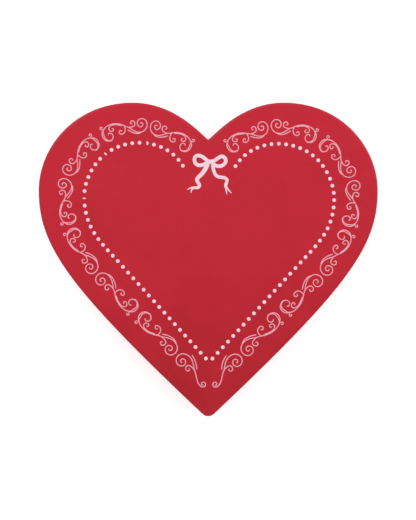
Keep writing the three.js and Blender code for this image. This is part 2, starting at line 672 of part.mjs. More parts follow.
/** The bridge: a stamped bar with the arbor's upper bearing. */
function bridge() {
  const { halfWidth } = BRIDGE;
  const bar = box(
    DRUM_X - halfWidth,
    DRUM_X + halfWidth,
    -BRIDGE.pillarY - 3,
    BRIDGE.pillarY + 3,
    BRIDGE.z,
    bridgeTop,
  );
  return cut(
    bar,
    post(DRUM_X, 0, 0, 30, WIND_TOP_R + RUN),
    placeClick(post(...CLICK_PIVOT, 0, 30, 0.85, 12)),
    placeClick(post(...SPRING_RIVET, 0, 30, 0.75, 12)),
    ...bridgeEnds.map((y) => post(DRUM_X, y, 0, 30, 1.1, 12)),
  );
}

piece("bridge", bridge(), steel, movement);
bridgeEnds.forEach((y, i) => {
  const place = i ? "rear" : "front";
  const pillar = cut(
    post(DRUM_X, y, PLATE_T, BRIDGE.z, 2.2, 16),
    post(DRUM_X, y, BRIDGE.z - 6, BRIDGE.z + 1, 1.05, 12),
  );
  piece(`bridge_pillar_${place}`, pillar, brass, movement);
  piece(`bridge_screw_${place}`, screw(DRUM_X, y, bridgeTop, SCREWS.bridge), blued, movement);
});

/** The click: a pawl that stands as a strut against a ratchet tooth's steep face. */
function click() {
  const noseY = CLICK_PIVOT[1];
  const points = [
    [0.15, noseY],
    [1, noseY + 0.4],
    [7, noseY - 0.35],
    [7, noseY + 1.25],
    [0.15, noseY + 0.95],
  ].map(([x, y]) => new THREE.Vector2(x, y));
  const [z0, z1] = [bridgeTop + 0.2, RATCHET.z1];
  const lever = join(slab(points, z0, z1), post(...CLICK_PIVOT, z0, z1, 1.4, 16));
  return placeClick(cut(lever, post(...CLICK_PIVOT, 0, 30, 0.8 + RUN, 16)));
}
piece("click", click(), steel, movement);
const clickScrew = screw(...CLICK_PIVOT, RATCHET.z1 + 0.2, SCREWS.click);
piece("click_screw", placeClick(clickScrew), blued, movement);

/** A leaf spring, riveted to the bridge, that bears on the click's outer side. */
function clickSpring() {
  const [x, y] = SPRING_RIVET;
  const z0 = bridgeTop;
  const foot = join(post(x, y, z0 - 1, z0 + 0.6, 0.7, 12), post(x, y, z0, z0 + 0.6, 1.2, 16));
  const blade = box(x - 5.6, x, y - 0.2, y + 0.2, z0, z0 + 1.4);
  const tip = box(x - 5.6, x - 5.2, CLICK_PIVOT[1] + 1.2, y + 0.2, z0, z0 + 1.4);
  return placeClick(join(foot, blade, tip));
}
piece("click_spring", clickSpring(), blued, movement);

// ---------------------------------------------------------------- movement: governor

/** The frame that carries the governor's arbor and the worm between two arms. */
function governorFrame() {
  const [x0, x1] = [18.4, 19.6];
  const back = WORM.y + 1.95;
  const top = FLY.z1 + 3;
  const foot = box(GOV_SCREW.x - 2, WORM.x + 3.3, GOV_SCREW.y - 1.4, back, PLATE_T, PLATE_T + GOV_FOOT_T);
  const upright = box(x0, x1, 7.9, back, PLATE_T, top);
  const arm = box(x0, 26, WORM.y - 1.5, WORM.y + 1.5, top - 1.2, top);
  return cut(
    join(foot, upright, arm),
    shaft(GOV_Y, AXIS_Z, x0 - 1, x1 + 1, GOV_ARBOR_R + RUN, 16),
    post(WORM.x, WORM.y, 2, 30, 0.6 + RUN, 16),
    post(GOV_SCREW.x, GOV_SCREW.y, 0, 30, 0.9, 12),
    box(x0 - 1, x1 + 1, 7, GOV_Y + 2, AXIS_Z + 2, 30), // the upright narrows above the arbor
    box(x0 - 1, x1 + 1, 7, 12.4, 0, AXIS_Z - 2.6),
  );
}

/** Helical wheel with the pinion that the cylinder's gear drives. */
function governorWheel() {
  const slope = 0.5 / WORM_R / 5; // the worm's thread climbs this much along the wheel's face
  const rim = slabX(onAxis(GOV_WHEEL, 0, GOV_Y), GOV_WHEEL.x0, GOV_WHEEL.x1);
  const helical = twisted(rim, WORM.x, GOV_Y, AXIS_Z, slope);
  const pinion = slabX(onAxis(GOV_PINION, halfTooth(GOV_PINION), GOV_Y), BULL.x0 - 0.2, GOV_WHEEL.x0);
  const bore = shaft(GOV_Y, AXIS_Z, 0, 40, GOV_ARBOR_R + 0.04, 16);
  return cut(join(helical, pinion), bore);
}

/** The worm: a steel shaft with a two-start thread. */
function worm() {
  const pitch = Math.PI * GOV_WHEEL.module;
  const lead = WORM_STARTS * pitch;
  const [z0, z1] = [AXIS_Z - 3, AXIS_Z + 3];
  // At the wheel's side of the worm a gap stands at the height of the wheel's axis.
  const side = -Math.PI / 2;
  const spindle = post(0, 0, 3.4, FLY.z1 + 2.6, 0.6, 16);
  const parts = [spindle, post(0, 0, z0 - 0.6, z1 + 0.6, 0.78, 16)];
  for (let i = 0; i < WORM_STARTS; i++) {
    const atAxis = AXIS_Z + pitch / 2 + i * pitch;
    const start = side + (2 * Math.PI * (z0 - atAxis)) / lead;
    parts.push(thread(z0, z1, lead, start, 0.7, WORM_R + 0.4, 0.42, 0.2));
  }
  return join(...parts).translate([WORM.x, WORM.y, 0]);
}

/** The fly: two air vanes on a hub, which keep the speed steady. */
function fly() {
  const { z0, z1 } = FLY;
  const hub = post(0, 0, z0, z1, 1.5, 16);
  const disc = post(0, 0, z0, z0 + 0.6, 2.8, 20);
  const vanes = join(box(-4.1, 4.1, -0.3, 0.3, z0, z1), box(-4.1, -3.3, -0.9, 0.9, z0, z1));
  const whole = join(hub, disc, vanes, box(3.3, 4.1, -0.9, 0.9, z0, z1));
  return cut(whole, post(0, 0, 0, 30, 0.6 + 0.04, 16)).translate([WORM.x, WORM.y, 0]);
}

piece("governor_frame", governorFrame(), zinc, movement);
const governorScrew = screw(GOV_SCREW.x, GOV_SCREW.y, PLATE_T + GOV_FOOT_T, SCREWS.governor);
piece("governor_screw", governorScrew, blued, movement);
const governorArbor = shaft(GOV_Y, AXIS_Z, 17.8, 27.4, GOV_ARBOR_R, 16);
piece("governor_arbor", governorArbor, steel, movement);
piece("governor_wheel", governorWheel(), brass, movement);
piece("worm", worm(), steel, movement);
piece("fly", fly(), brass, movement);

// ---------------------------------------------------------------- movement: stop rod, worked by the lid

const GUIDE = { z1: 8, r: 2.2 };
const COLLAR = { z0: 13, z1: 14.4, r: 2.2 };
const FINGER = { z0: FLY.z1 + 0.4, z1: FLY.z1 + 1.4 }; // over the fly
const guide = cut(
  post(STOP.x, STOP.y, PLATE_T, GUIDE.z1, GUIDE.r, 16),
  post(STOP.x, STOP.y, 0, 30, STOP.r + RUN, 16),
);
piece("stop_guide", guide, brass, movement);

const rod = join(
  post(STOP.x, STOP.y, 0.3, STOP.top - 0.6, STOP.r, 16),
  post(STOP.x, STOP.y, STOP.top - 0.6, STOP.top, STOP.r, 16, 0.5),
  post(STOP.x, STOP.y, COLLAR.z0, COLLAR.z1, COLLAR.r, 16),
);
piece("stop_rod", rod, steel, movement);

/** The finger that stops the fly from above while the lid is shut. */
function stopFinger() {
  const hub = post(STOP.x, STOP.y, FINGER.z0 - 1.6, FINGER.z1, 2, 16);
  const bar = box(STOP.x, WORM.x + 1, STOP.y - 0.6, STOP.y + 0.6, FINGER.z0, FINGER.z1);
  return cut(join(hub, bar), post(STOP.x, STOP.y, 0, 30, STOP.r + 0.04, 16));
}
piece("stop_finger", stopFinger(), steel, movement);

/** Coil spring between the guide and the rod's collar. */
function stopSpring() {
  const [wire, r] = [0.25, 1.65];
  const [z0, z1] = [GUIDE.z1 + wire + 0.05, COLLAR.z0 - wire - 0.05];
  const turns = 4;
  class Helix extends THREE.Curve {
    getPoint(t, target = new THREE.Vector3()) {
      const a = 2 * Math.PI * turns * t;
      return target.set(STOP.x + r * Math.cos(a), STOP.y + r * Math.sin(a), z0 + (z1 - z0) * t);
    }
  }
  const sides = 5;
  const section = new THREE.Shape(
    Array.from({ length: sides }, (_, i) => {
      const a = (2 * Math.PI * i) / sides;
      return new THREE.Vector2(wire * Math.cos(a), wire * Math.sin(a));
    }),
  );
  const options = { extrudePath: new Helix(), steps: turns * 10, bevelEnabled: false };
  return solid(new THREE.ExtrudeGeometry(section, options));
}
piece("stop_spring", stopSpring(), blued, movement);

// ---------------------------------------------------------------- key

/** Butterfly wings in the x-z plane, let into the stem's slot. */
function keyWings() {
  const { halfWidth, bottom, t } = KEY;
  const wing = (side) => {
    const shape = new THREE.Shape();
    const reach = halfWidth;
    shape.moveTo(0, 5.2);
    shape.bezierCurveTo(side * 4, 4.4, side * 5, bottom, side * 8, bottom);
    shape.bezierCurveTo(side * 10.6, bottom, side * reach, 4, side * reach, 6.2);
    shape.bezierCurveTo(side * reach, 8.6, side * 10.6, 10.4, side * 8, 10.4);
    shape.bezierCurveTo(side * 5, 10.4, side * 4, 9.4, 0, 9);
    const eye = new THREE.Path().absarc(side * 7.6, 6.3, 1.9, 0, 2 * Math.PI, side > 0);
    shape.holes.push(eye);
    const options = { depth: t, bevelEnabled: false, curveSegments: 6 };
    return solid(new THREE.ExtrudeGeometry(shape, options).rotateX(Math.PI / 2));
  };
  return join(wing(1), wing(-1)).translate([WIND.x, WIND.y + t / 2, 0]);
}

/** The key's threaded stem, slotted for the wings. */
function keyStem() {
  const { stemR, slotTop, t } = KEY;
  const half = t / 2 + 0.02;
  const slot = box(WIND.x - 5, WIND.x + 5, WIND.y - half, WIND.y + half, 0, slotTop);
  const bore = post(WIND.x, WIND.y, slotTop - 0.2, 20, 1.5 + RUN, 20);
  return cut(post(WIND.x, WIND.y, 4.4, KEY.top, stemR, 20), slot, bore);
}
piece("key_stem", keyStem(), brass);
piece("key_wings", keyWings(), brass);

export default musicBox;
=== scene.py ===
"""Looks of the heart-shaped wind-up music box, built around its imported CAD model.

Shapes are worked out in millimetres in the row's frame (+Z up, the heart's point along -Y) and turned
into metres when a piece is made.
"""

import json
import math

import bmesh
import bpy
from mathutils import Matrix, Vector


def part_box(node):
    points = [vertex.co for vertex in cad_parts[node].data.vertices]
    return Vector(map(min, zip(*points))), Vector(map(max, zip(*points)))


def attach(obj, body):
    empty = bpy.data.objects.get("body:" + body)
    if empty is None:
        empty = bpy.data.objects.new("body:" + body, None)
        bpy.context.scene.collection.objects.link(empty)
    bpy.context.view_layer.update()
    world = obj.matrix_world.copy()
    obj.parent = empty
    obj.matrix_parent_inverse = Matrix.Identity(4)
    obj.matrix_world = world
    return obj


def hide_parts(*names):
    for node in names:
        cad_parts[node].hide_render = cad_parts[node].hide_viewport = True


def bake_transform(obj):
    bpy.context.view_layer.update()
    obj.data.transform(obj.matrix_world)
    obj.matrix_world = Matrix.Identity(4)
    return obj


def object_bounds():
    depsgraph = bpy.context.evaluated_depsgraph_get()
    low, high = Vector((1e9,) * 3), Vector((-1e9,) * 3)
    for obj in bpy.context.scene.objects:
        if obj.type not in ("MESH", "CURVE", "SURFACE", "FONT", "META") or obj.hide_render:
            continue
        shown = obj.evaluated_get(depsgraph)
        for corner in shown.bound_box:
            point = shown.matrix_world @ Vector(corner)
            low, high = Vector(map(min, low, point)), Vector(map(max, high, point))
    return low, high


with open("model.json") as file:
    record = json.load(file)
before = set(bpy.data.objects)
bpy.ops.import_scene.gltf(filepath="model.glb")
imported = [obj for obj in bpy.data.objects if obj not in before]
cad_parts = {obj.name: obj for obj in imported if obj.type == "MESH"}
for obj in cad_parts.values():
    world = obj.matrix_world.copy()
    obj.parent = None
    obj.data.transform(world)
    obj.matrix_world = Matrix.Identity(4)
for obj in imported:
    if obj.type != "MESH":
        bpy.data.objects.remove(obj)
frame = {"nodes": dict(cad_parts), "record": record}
cad_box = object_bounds()

MM = 0.001
FINISH = "_finish"  # ends each material's name, after the slot it stands for


def corners(node):
    """A CAD node's lowest and highest corner, in millimetres."""
    lo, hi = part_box(node)
    return lo / MM, hi / MM


# ------ lines and outlines


def bezier(control, t):
    """Point and unit direction at t on a cubic with four control points."""
    a, b, c, d = (Vector(p) for p in control)
    s = 1 - t
    point = a * s**3 + b * (3 * s * s * t) + c * (3 * s * t * t) + d * t**3
    slope = (b - a) * (s * s) + (c - b) * (2 * s * t) + (d - c) * (t * t)
    return point, slope.normalized()


def trace(curves, steps=60):
    """Points and directions along joined cubics, each given by its four control points."""
    found = []
    for i, control in enumerate(curves):
        for k in range(1 if i else 0, steps + 1):
            found.append(bezier(control, k / steps))
    return found


def joined(start, *rest):
    """Four control points for each cubic of a path: its start, then three points for each curve."""
    ends = [start] + [r[-1] for r in rest]
    return [(ends[i], *r) for i, r in enumerate(rest)]


def lengths(points):
    """Distance along a polyline at each of its points."""
    run = [0.0]
    for a, b in zip(points, points[1:]):
        run.append(run[-1] + (b - a).length)
    return run


def along(points, run, s):
    """Point at distance s along a polyline whose lengths are run; straight on past its ends."""
    low, high = 0, len(run) - 1
    while high - low > 1:
        middle = (low + high) // 2
        if run[middle] <= s:
            low = middle
        else:
            high = middle
    share = (s - run[low]) / max(run[high] - run[low], 1e-9)
    return points[low].lerp(points[high], share)


def spread(points, count):
    """The polyline again as count + 1 evenly spaced points."""
    run = lengths(points)
    return [along(points, run, run[-1] * i / count) for i in range(count + 1)]


def smooth_line(points, step=0.35):
    """A smooth line through points (centripetal Catmull-Rom), evenly stepped."""
    knots = [Vector(p) for p in points]
    knots = [knots[0] * 2 - knots[1], *knots, knots[-1] * 2 - knots[-2]]
    found = []
    for p0, p1, p2, p3 in zip(knots, knots[1:], knots[2:], knots[3:]):
        t0 = 0.0
        t1 = t0 + (p1 - p0).length ** 0.5
        t2 = t1 + (p2 - p1).length ** 0.5
        t3 = t2 + (p3 - p2).length ** 0.5
        for k in range(12):
            t = t1 + (t2 - t1) * k / 12
            a = p0.lerp(p1, (t - t0) / (t1 - t0))
            b = p1.lerp(p2, (t - t1) / (t2 - t1))
            c = p2.lerp(p3, (t - t2) / (t3 - t2))
            d = a.lerp(b, (t - t0) / (t2 - t0))
            e = b.lerp(c, (t - t1) / (t3 - t1))
            found.append(d.lerp(e, (t - t1) / (t2 - t1)))
    found.append(knots[-2])
    return spread(found, max(4, round(lengths(found)[-1] / step)))


def rounded(profile, closed=False, steps=5):
    """A polyline of (a, b, radius) corners as (a, b) points, each corner turned into an arc.

    A point a little before and after each arc keeps the flats between the arcs flat when shaded."""
    count = len(profile)
    found = []
    for i, (a, b, radius) in enumerate(profile):
        here = Vector((a, b))
        if radius <= 0 or (not closed and i in (0, count - 1)):
            found.append(here)
            continue
        before = (Vector(profile[i - 1][:2]) - here).normalized()
        after = (Vector(profile[(i + 1) % count][:2]) - here).normalized()
        half = before.angle(after) / 2
        reach = radius / math.tan(half)
        centre = here + (before + after).normalized() * (radius / math.sin(half))
        start = here + before * reach - centre
        turn = start.angle_signed(here + after * reach - centre)
        found.append(here + before * reach * 1.25)
        for k in range(steps + 1):
            found.append(centre + Matrix.Rotation(-turn * k / steps, 2) @ start)
        found.append(here + after * reach * 1.25)
    return found


def circle(count):
    """Cosine and sine at even steps round a circle."""
    angles = [2 * math.pi * k / count for k in range(count)]
    return [(math.cos(a), math.sin(a)) for a in angles]


# The lid's outline, right half from the notch over the lobe to the point.
lid_lo, lid_hi = corners("lid_panel")
WIDEST = lid_hi.x
LOBE_TOP = lid_hi.y
HEART = joined(
    (0, 56.5),
    ((4, 59.7), (16, LOBE_TOP), (35.6, LOBE_TOP)),
    ((63, LOBE_TOP), (WIDEST, 53), (WIDEST, 32.5)),
    ((WIDEST, 5.8), (65.6, -13.7), (0, -75.5)),
)
POINT_ROUND = 3.9  # radius of the heart's point
HALF_STEPS = 150  # steps along each half of an outline
HEART_TRACE = trace(HEART, 90)


def heart(inset):
    """The closed heart that lies inset inside the lid's outline, counter-clockwise from the notch."""
    half = []
    centre = None
    for at, direction in HEART_TRACE:
        inward = Vector((direction.y, -direction.x))
        point = at + inward * inset
        if not half:
            point = point - direction * (point.x / direction.x)
        centre = at + inward * (inset + POINT_ROUND)
        if centre.x < 0:
            break
        if point.x >= -1e-6 or not half:
            half.append(point)
    arc_y = centre.y + centre.x * inward.x / inward.y
    start = math.atan2(-inward.y, -inward.x)
    for k in range(1, 13):
        a = start + (-math.pi / 2 - start) * k / 12
        half.append(Vector((POINT_ROUND * math.cos(a), arc_y + POINT_ROUND * math.sin(a))))
    half = spread(half, HALF_STEPS)
    half[0].x = half[-1].x = 0
    left = [Vector((-p.x, p.y)) for p in half]
    return left + half[-2:0:-1]


# ------ meshes


class Shape:
    """Vertices and faces in millimetres, gathered before they become one mesh."""

    def __init__(self):
        self.points = []
        self.faces = []

    def skin(self, rings, loop=False):
        """Closed rings of equal length joined one to the next; the ends capped, or joined as a loop."""
        first = len(self.points)
        size = len(rings[0])
        for ring in rings:
            self.points.extend(Vector(p).to_3d() for p in ring)
        count = len(rings)
        for i in range(count if loop else count - 1):
            a = first + i * size
            b = first + (i + 1) % count * size
            for k in range(size):
                n = (k + 1) % size
                self.faces.append((a + k, a + n, b + n, b + k))
        if not loop:
            self.faces.append(tuple(first + k for k in reversed(range(size))))
            last = first + (count - 1) * size
            self.faces.append(tuple(last + k for k in range(size)))
        return self

    def turn(self, profile, centre=(0, 0, 0), axis="Z", sides=48, loop=False):
        """A turned solid from (radius, height) points along an axis through centre."""
        rings = []
        for r, h in profile:
            ring = []
            for c, s in circle(sides):
                at = {"Z": (r * c, r * s, h), "X": (h, r * c, r * s), "Y": (r * s, h, r * c)}[axis]
                ring.append(Vector(at) + Vector(centre))
            rings.append(ring)
        return self.skin(rings, loop=loop)

    def add(self, other, matrix=None):
        """Adds another shape, moved by a matrix."""
        first = len(self.points)
        self.points.extend(matrix @ p if matrix else p.copy() for p in other.points)
        self.faces.extend(tuple(first + i for i in f) for f in other.faces)
        return self


SHARP = 35  # edges that turn by more degrees than this stay sharp


def mesh_of(name, shape):
    """A mesh in metres, its doubled points merged and its faces turned out."""
    mesh = bpy.data.meshes.new(name)
    mesh.from_pydata([p * MM for p in shape.points], [], shape.faces)
    work = bmesh.new()
    work.from_mesh(mesh)
    bmesh.ops.remove_doubles(work, verts=work.verts, dist=1e-7)
    bmesh.ops.dissolve_degenerate(work, edges=work.edges, dist=1e-8)
    bmesh.ops.recalc_face_normals(work, faces=work.faces)
    work.to_mesh(mesh)
    work.free()
    return mesh


def linked(name, data):
    """A new object with a mesh, lamp or camera, in the scene."""
    obj = bpy.data.objects.new(name, data)
    bpy.context.scene.collection.objects.link(obj)
    return obj


def made_real(obj):
    """An object's mesh with its modifiers applied, as a new mesh."""
    bpy.context.view_layer.update()
    return bpy.data.meshes.new_from_object(obj.evaluated_get(bpy.context.evaluated_depsgraph_get()))


def piece(name, shape, body, material, node=None, sharp=SHARP, hold=True):
    """Makes a named piece, which stands for a CAD node where one is named.

    It rides on a body, or stays fixed in place where body is (a, b, start, end)."""
    obj = linked(name, mesh_of(name, shape))
    obj.data.shade_smooth()
    obj.data.set_sharp_from_angle(angle=math.radians(sharp))
    obj.data.materials.append(material)
    if hold:
        weighted = obj.modifiers.new("even shading", "WEIGHTED_NORMAL")
        weighted.keep_sharp = True
    if isinstance(body, str):
        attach(obj, body)
    else:
        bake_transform(obj)
    if node:
        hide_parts(node)
    return obj


def cut_with(obj, tools):
    """Cuts tool shapes out of a piece's mesh."""
    cutter = linked("cutter", mesh_of("cutter", tools))
    boolean = obj.modifiers.new("cut", "BOOLEAN")
    boolean.operation = "DIFFERENCE"
    boolean.solver = "EXACT"
    boolean.object = cutter
    obj.modifiers.move(len(obj.modifiers) - 1, 0)
    kept = [m for m in obj.modifiers if m != boolean]
    shown = [m.show_viewport for m in kept]
    for m in kept:
        m.show_viewport = False
    made = made_real(obj)
    for m, show in zip(kept, shown):
        m.show_viewport = show
    obj.modifiers.remove(boolean)
    obj.data = made
    bpy.data.objects.remove(cutter)
    obj.data.shade_smooth()
    obj.data.set_sharp_from_angle(angle=math.radians(SHARP))


def block(shape, x0, x1, y0, y1, z0, z1):
    """Adds a box between two corners, for cutting."""
    return shape.skin([[(x0, y0, z), (x1, y0, z), (x1, y1, z), (x0, y1, z)] for z in (z0, z1)])


def heart_sweep(profile, loop=False, scale=1.0, shift=0.0):
    """A profile of (inset, height) points carried round the heart, or round a scaled, shifted one."""
    rings = []
    for inset, z in profile:
        rings.append([(p.x * scale, p.y * scale + shift, z) for p in heart(inset / scale)])
    return Shape().skin(rings, loop=loop)


# ------ materials


class Nodes:
    """A material's node tree, with short ways to add what the finishes share."""

    def __init__(self, name):
        self.material = bpy.data.materials.new(name + FINISH)
        self.material.use_nodes = True
        self.tree = self.material.node_tree
        self.shader = self.tree.nodes["Principled BSDF"]
        self.place = self.node("ShaderNodeTexCoord").outputs["Object"]

    def node(self, kind, **settings):
        made = self.tree.nodes.new(kind)
        for key, value in settings.items():
            if key in made.inputs:
                made.inputs[key].default_value = value
            else:
                setattr(made, key, value)
        return made

    def link(self, output, target):
        self.tree.links.new(output, target)

    def set(self, **values):
        for key, value in values.items():
            self.shader.inputs[key.replace("_", " ")].default_value = value

    def noise(self, scale, detail=4.0, roughness=0.55, stretch=None):
        """Noise over the piece's own coordinates; scale is in cycles per metre."""
        made = self.node("ShaderNodeTexNoise", Scale=scale, Detail=detail, Roughness=roughness)
        place = self.place
        if stretch:
            mapping = self.node("ShaderNodeMapping", Scale=stretch)
            self.link(place, mapping.inputs["Vector"])
            place = mapping.outputs["Vector"]
        self.link(place, made.inputs["Vector"])
        return made.outputs["Fac"]

    def ramp(self, value, low, high, colours):
        """A value spread from low to high over a list of colours."""
        made = self.node("ShaderNodeValToRGB")
        elements = made.color_ramp.elements
        while len(elements) < len(colours):
            elements.new(0.5)
        for i, colour in enumerate(colours):
            elements[i].position = low + (high - low) * i / (len(colours) - 1)
            elements[i].color = (*linear(colour), 1)
        self.link(value, made.inputs["Fac"])
        return made.outputs["Color"]

    def span(self, value, low, high, to_low, to_high):
        """A value carried from one range to another, and held at its ends."""
        made = self.node("ShaderNodeMapRange")
        ends = {"From Min": low, "From Max": high, "To Min": to_low, "To Max": to_high}
        for key, end in ends.items():
            made.inputs[key].default_value = end
        self.link(value, made.inputs["Value"])
        return made.outputs["Result"]

    def mix(self, share, a, b):
        """Two colours mixed by a share, each a socket or a plain colour."""
        made = self.node("ShaderNodeMix", data_type="RGBA", blend_type="MIX")
        for value, socket in ((share, made.inputs[0]), (a, made.inputs[6]), (b, made.inputs[7])):
            if isinstance(value, bpy.types.NodeSocket):
                self.link(value, socket)
            elif isinstance(value, (int, float)):
                socket.default_value = value
            else:
                socket.default_value = (*linear(value), 1)
        return made.outputs[2]

    def bump(self, height, distance, strength=1.0):
        """Surface relief from a height; distance is in metres."""
        made = self.node("ShaderNodeBump", Strength=strength, Distance=distance)
        self.link(height, made.inputs["Height"])
        before = self.shader.inputs["Normal"]
        if before.is_linked:
            self.link(before.links[0].from_socket, made.inputs["Normal"])
        self.link(made.outputs["Normal"], before)

    def edges(self, radius):
        """How far the surface turns within a radius: 0 on flats, towards 1 on edges."""
        bevel = self.node("ShaderNodeBevel", samples=4, Radius=radius)
        normal = self.node("ShaderNodeNewGeometry").outputs["Normal"]
        dot = self.node("ShaderNodeVectorMath", operation="DOT_PRODUCT")
        self.link(bevel.outputs["Normal"], dot.inputs[0])
        self.link(normal, dot.inputs[1])
        return self.span(dot.outputs["Value"], 0.99, 0.8, 0.0, 1.0)

    def colour(self, output):
        self.link(output, self.shader.inputs["Base Color"])

    def roughness(self, output):
        self.link(output, self.shader.inputs["Roughness"])


def linear(colour):
    """A colour written as 0-255 sRGB, in the linear values that shaders use."""
    levels = (c / 255 for c in colour[:3])
    return tuple(c / 12.92 if c <= 0.04045 else ((c + 0.055) / 1.055) ** 2.4 for c in levels)


def red_lacquer():
    """Satin red lacquer over fibreboard, with painted shade deepening it towards the heart's point and
    painted light at the top.
    """
    n = Nodes("red_lacquer")
    y = n.node("ShaderNodeSeparateXYZ")
    n.link(n.place, y.inputs[0])
    # painted light and shade: the lacquer's colour falls from lighter at the top to darker towards the point
    painted_shade_fall = n.span(y.outputs["Y"], -0.075, 0.075, 0.0, 1.0)
    base = n.ramp(painted_shade_fall, 0.0, 1.0, [(157, 25, 34), (174, 31, 45), (180, 34, 49)])
    mottle = n.span(n.noise(45, 3), 0.35, 0.65, 0.0, 0.22)
    tone = n.mix(mottle, base, (194, 40, 54))
    cloud = n.span(n.noise(240, 2), 0.4, 0.75, 0.0, 0.1)
    tone = n.mix(cloud, tone, (150, 26, 38))
    # painted shade: the eased edges are darkened where they turn away from the light
    painted_edge_shade = n.edges(0.0006)
    tone = n.mix(n.span(painted_edge_shade, 0.0, 1.0, 0.0, 0.25), tone, (150, 24, 36))
    n.colour(tone)
    n.roughness(n.span(n.noise(160, 5), 0.3, 0.7, 0.36, 0.46))
    n.set(Specular_IOR_Level=0.2)
    n.bump(n.noise(900, 2), 0.00002, 0.25)
    n.bump(n.noise(90, 2), 0.00012, 0.15)
    return n.material


def ink(name, pale, deep):
    """Screen-printed ink: slightly uneven cover over the lacquer."""
    n = Nodes(name)
    cover = n.span(n.noise(700, 4, 0.65), 0.35, 0.68, 0.0, 1.0)
    n.colour(n.mix(cover, pale, deep))
    n.roughness(n.span(n.noise(1200, 3), 0.3, 0.7, 0.5, 0.66))
    n.set(Specular_IOR_Level=0.3)
    n.bump(n.noise(2600, 3), 0.00002, 0.4)
    return n.material


RED = red_lacquer()
PINK_INK = ink("pink_ink", (229, 166, 178), (212, 138, 153))
BOW_INK = ink("bow_ink", (232, 204, 214), (220, 182, 194))
WHITE_INK = ink("white_ink", (237, 202, 212), (221, 181, 192))

# ------ case

RIM_INSET = 10.0
PANEL_ROUND = 1.3  # the lid's top edge
EDGE = 0.5  # the other eased edges
RIM_EDGE = 0.35  # the edges where the lid's top meets its frame
BASE_ROUND = (1.0, 1.6)  # the base board's lower and upper edge
SKIRT = 6  # the lid's profile runs this far in before its flat faces are closed
BASE_SKIRT = 8  # and the base board's
INK_LIFT = 0.05  # the print stands this far above the lacquer
LID_TOP = lid_hi.z - INK_LIFT


def closed_heart_ring(outer, inner, z0, z1, edge=EDGE):
    """A wall between two insets with eased edges."""
    profile = [(outer, z0, edge), (outer, z1, edge), (inner, z1, edge), (inner, z0, edge)]
    return heart_sweep(rounded(profile, closed=True), loop=True)


panel_profile = rounded(
    [(SKIRT, lid_lo.z, 0), (0, lid_lo.z, RIM_EDGE), (0, LID_TOP, PANEL_ROUND), (SKIRT, LID_TOP, 0)],
    steps=8,
)
piece("lid_top", heart_sweep(panel_profile), "lid", RED, "lid_panel")

rim_lo, rim_hi = corners("lid_rim")
rim = closed_heart_ring(0, RIM_INSET, rim_lo.z, rim_hi.z, RIM_EDGE)
lid_frame = piece("lid_frame", rim, "lid", RED, "lid_rim")

wall_lo, wall_hi = corners("side_wall")
WALL_OUT = WIDEST - wall_hi.x
wall = closed_heart_ring(WALL_OUT, RIM_INSET, wall_lo.z, wall_hi.z)
case_wall = piece("case_wall", wall, "case", RED, "side_wall")

base_lo, base_hi = corners("base_board")
BASE_IN = WIDEST - base_hi.x
base_profile = rounded(
    [(BASE_SKIRT, base_lo.z, 0), (BASE_IN, base_lo.z, BASE_ROUND[0]),
     (BASE_IN, base_hi.z, BASE_ROUND[1]), (BASE_SKIRT, base_hi.z, 0)],
    steps=7,
)
case_base = piece("case_base", heart_sweep(base_profile), "case", RED, "base_board")

# ------ finishes of the other pieces


def velvet(name, tone, deep, pale):
    """Short-pile velvet: nap that lies in patches, and painted glints where fibres catch the light."""
    n = Nodes(name)
    nap = n.span(n.noise(70, 3, stretch=(1, 0.45, 1)), 0.35, 0.65, 0.0, 1.0)
    # painted highlight: fine pale flecks where the fibres catch the light
    fibre_glint = n.span(n.noise(3600, 2), 0.3, 0.7, 0.0, 0.45)
    n.colour(n.mix(fibre_glint, n.mix(nap, tone, deep), pale))
    n.roughness(n.span(n.noise(300, 3), 0.3, 0.7, 0.84, 0.97))
    n.set(Specular_IOR_Level=0.12, Sheen_Weight=0.55, Sheen_Roughness=0.4)
    n.bump(n.noise(3600, 2), 0.00008, 0.5)
    n.bump(n.noise(150, 3), 0.0003, 0.35)
    return n.material


def metal(name, tone, dull, worn, rough, grain=1400, stretch=(1, 1, 1), depth=0.000012):
    """Bare metal: clouded tone, worn edges and machining marks stretched along an axis."""
    n = Nodes(name)
    cloud = n.span(n.noise(160, 4), 0.35, 0.7, 0.0, 1.0)
    fine = n.span(n.noise(2400, 3), 0.35, 0.7, 0.0, 0.3)
    base = n.mix(fine, n.mix(cloud, tone, dull), dull)
    n.colour(n.mix(n.edges(0.00015), base, worn))
    n.roughness(n.span(n.noise(grain, 4, stretch=stretch), 0.3, 0.7, *rough))
    n.set(Metallic=1.0)
    n.bump(n.noise(grain, 3, stretch=stretch), depth, 0.35)
    return n.material


def mirror_glass():
    """Silvered glass with a faint haze."""
    n = Nodes("mirror_glass")
    haze = n.span(n.noise(60, 4), 0.4, 0.8, 0.0, 1.0)
    n.colour(n.mix(haze, (236, 240, 243), (222, 227, 231)))
    n.roughness(n.span(n.noise(180, 4), 0.3, 0.8, 0.015, 0.07))
    n.set(Metallic=1.0)
    n.bump(n.noise(30, 2), 0.00002, 0.1)
    return n.material


def clear_acrylic():
    """Clear acrylic with light handling marks."""
    n = Nodes("clear_acrylic")
    marks = n.noise(500, 6, 0.7, stretch=(1, 0.08, 1))
    n.colour(n.mix(n.span(marks, 0.4, 0.8, 0.0, 1.0), (250, 252, 253), (238, 242, 245)))
    n.roughness(n.span(marks, 0.45, 0.75, 0.01, 0.06))
    n.set(Transmission_Weight=1.0, IOR=1.49, Alpha=0.18)
    n.bump(marks, 0.00001, 0.1)
    return n.material


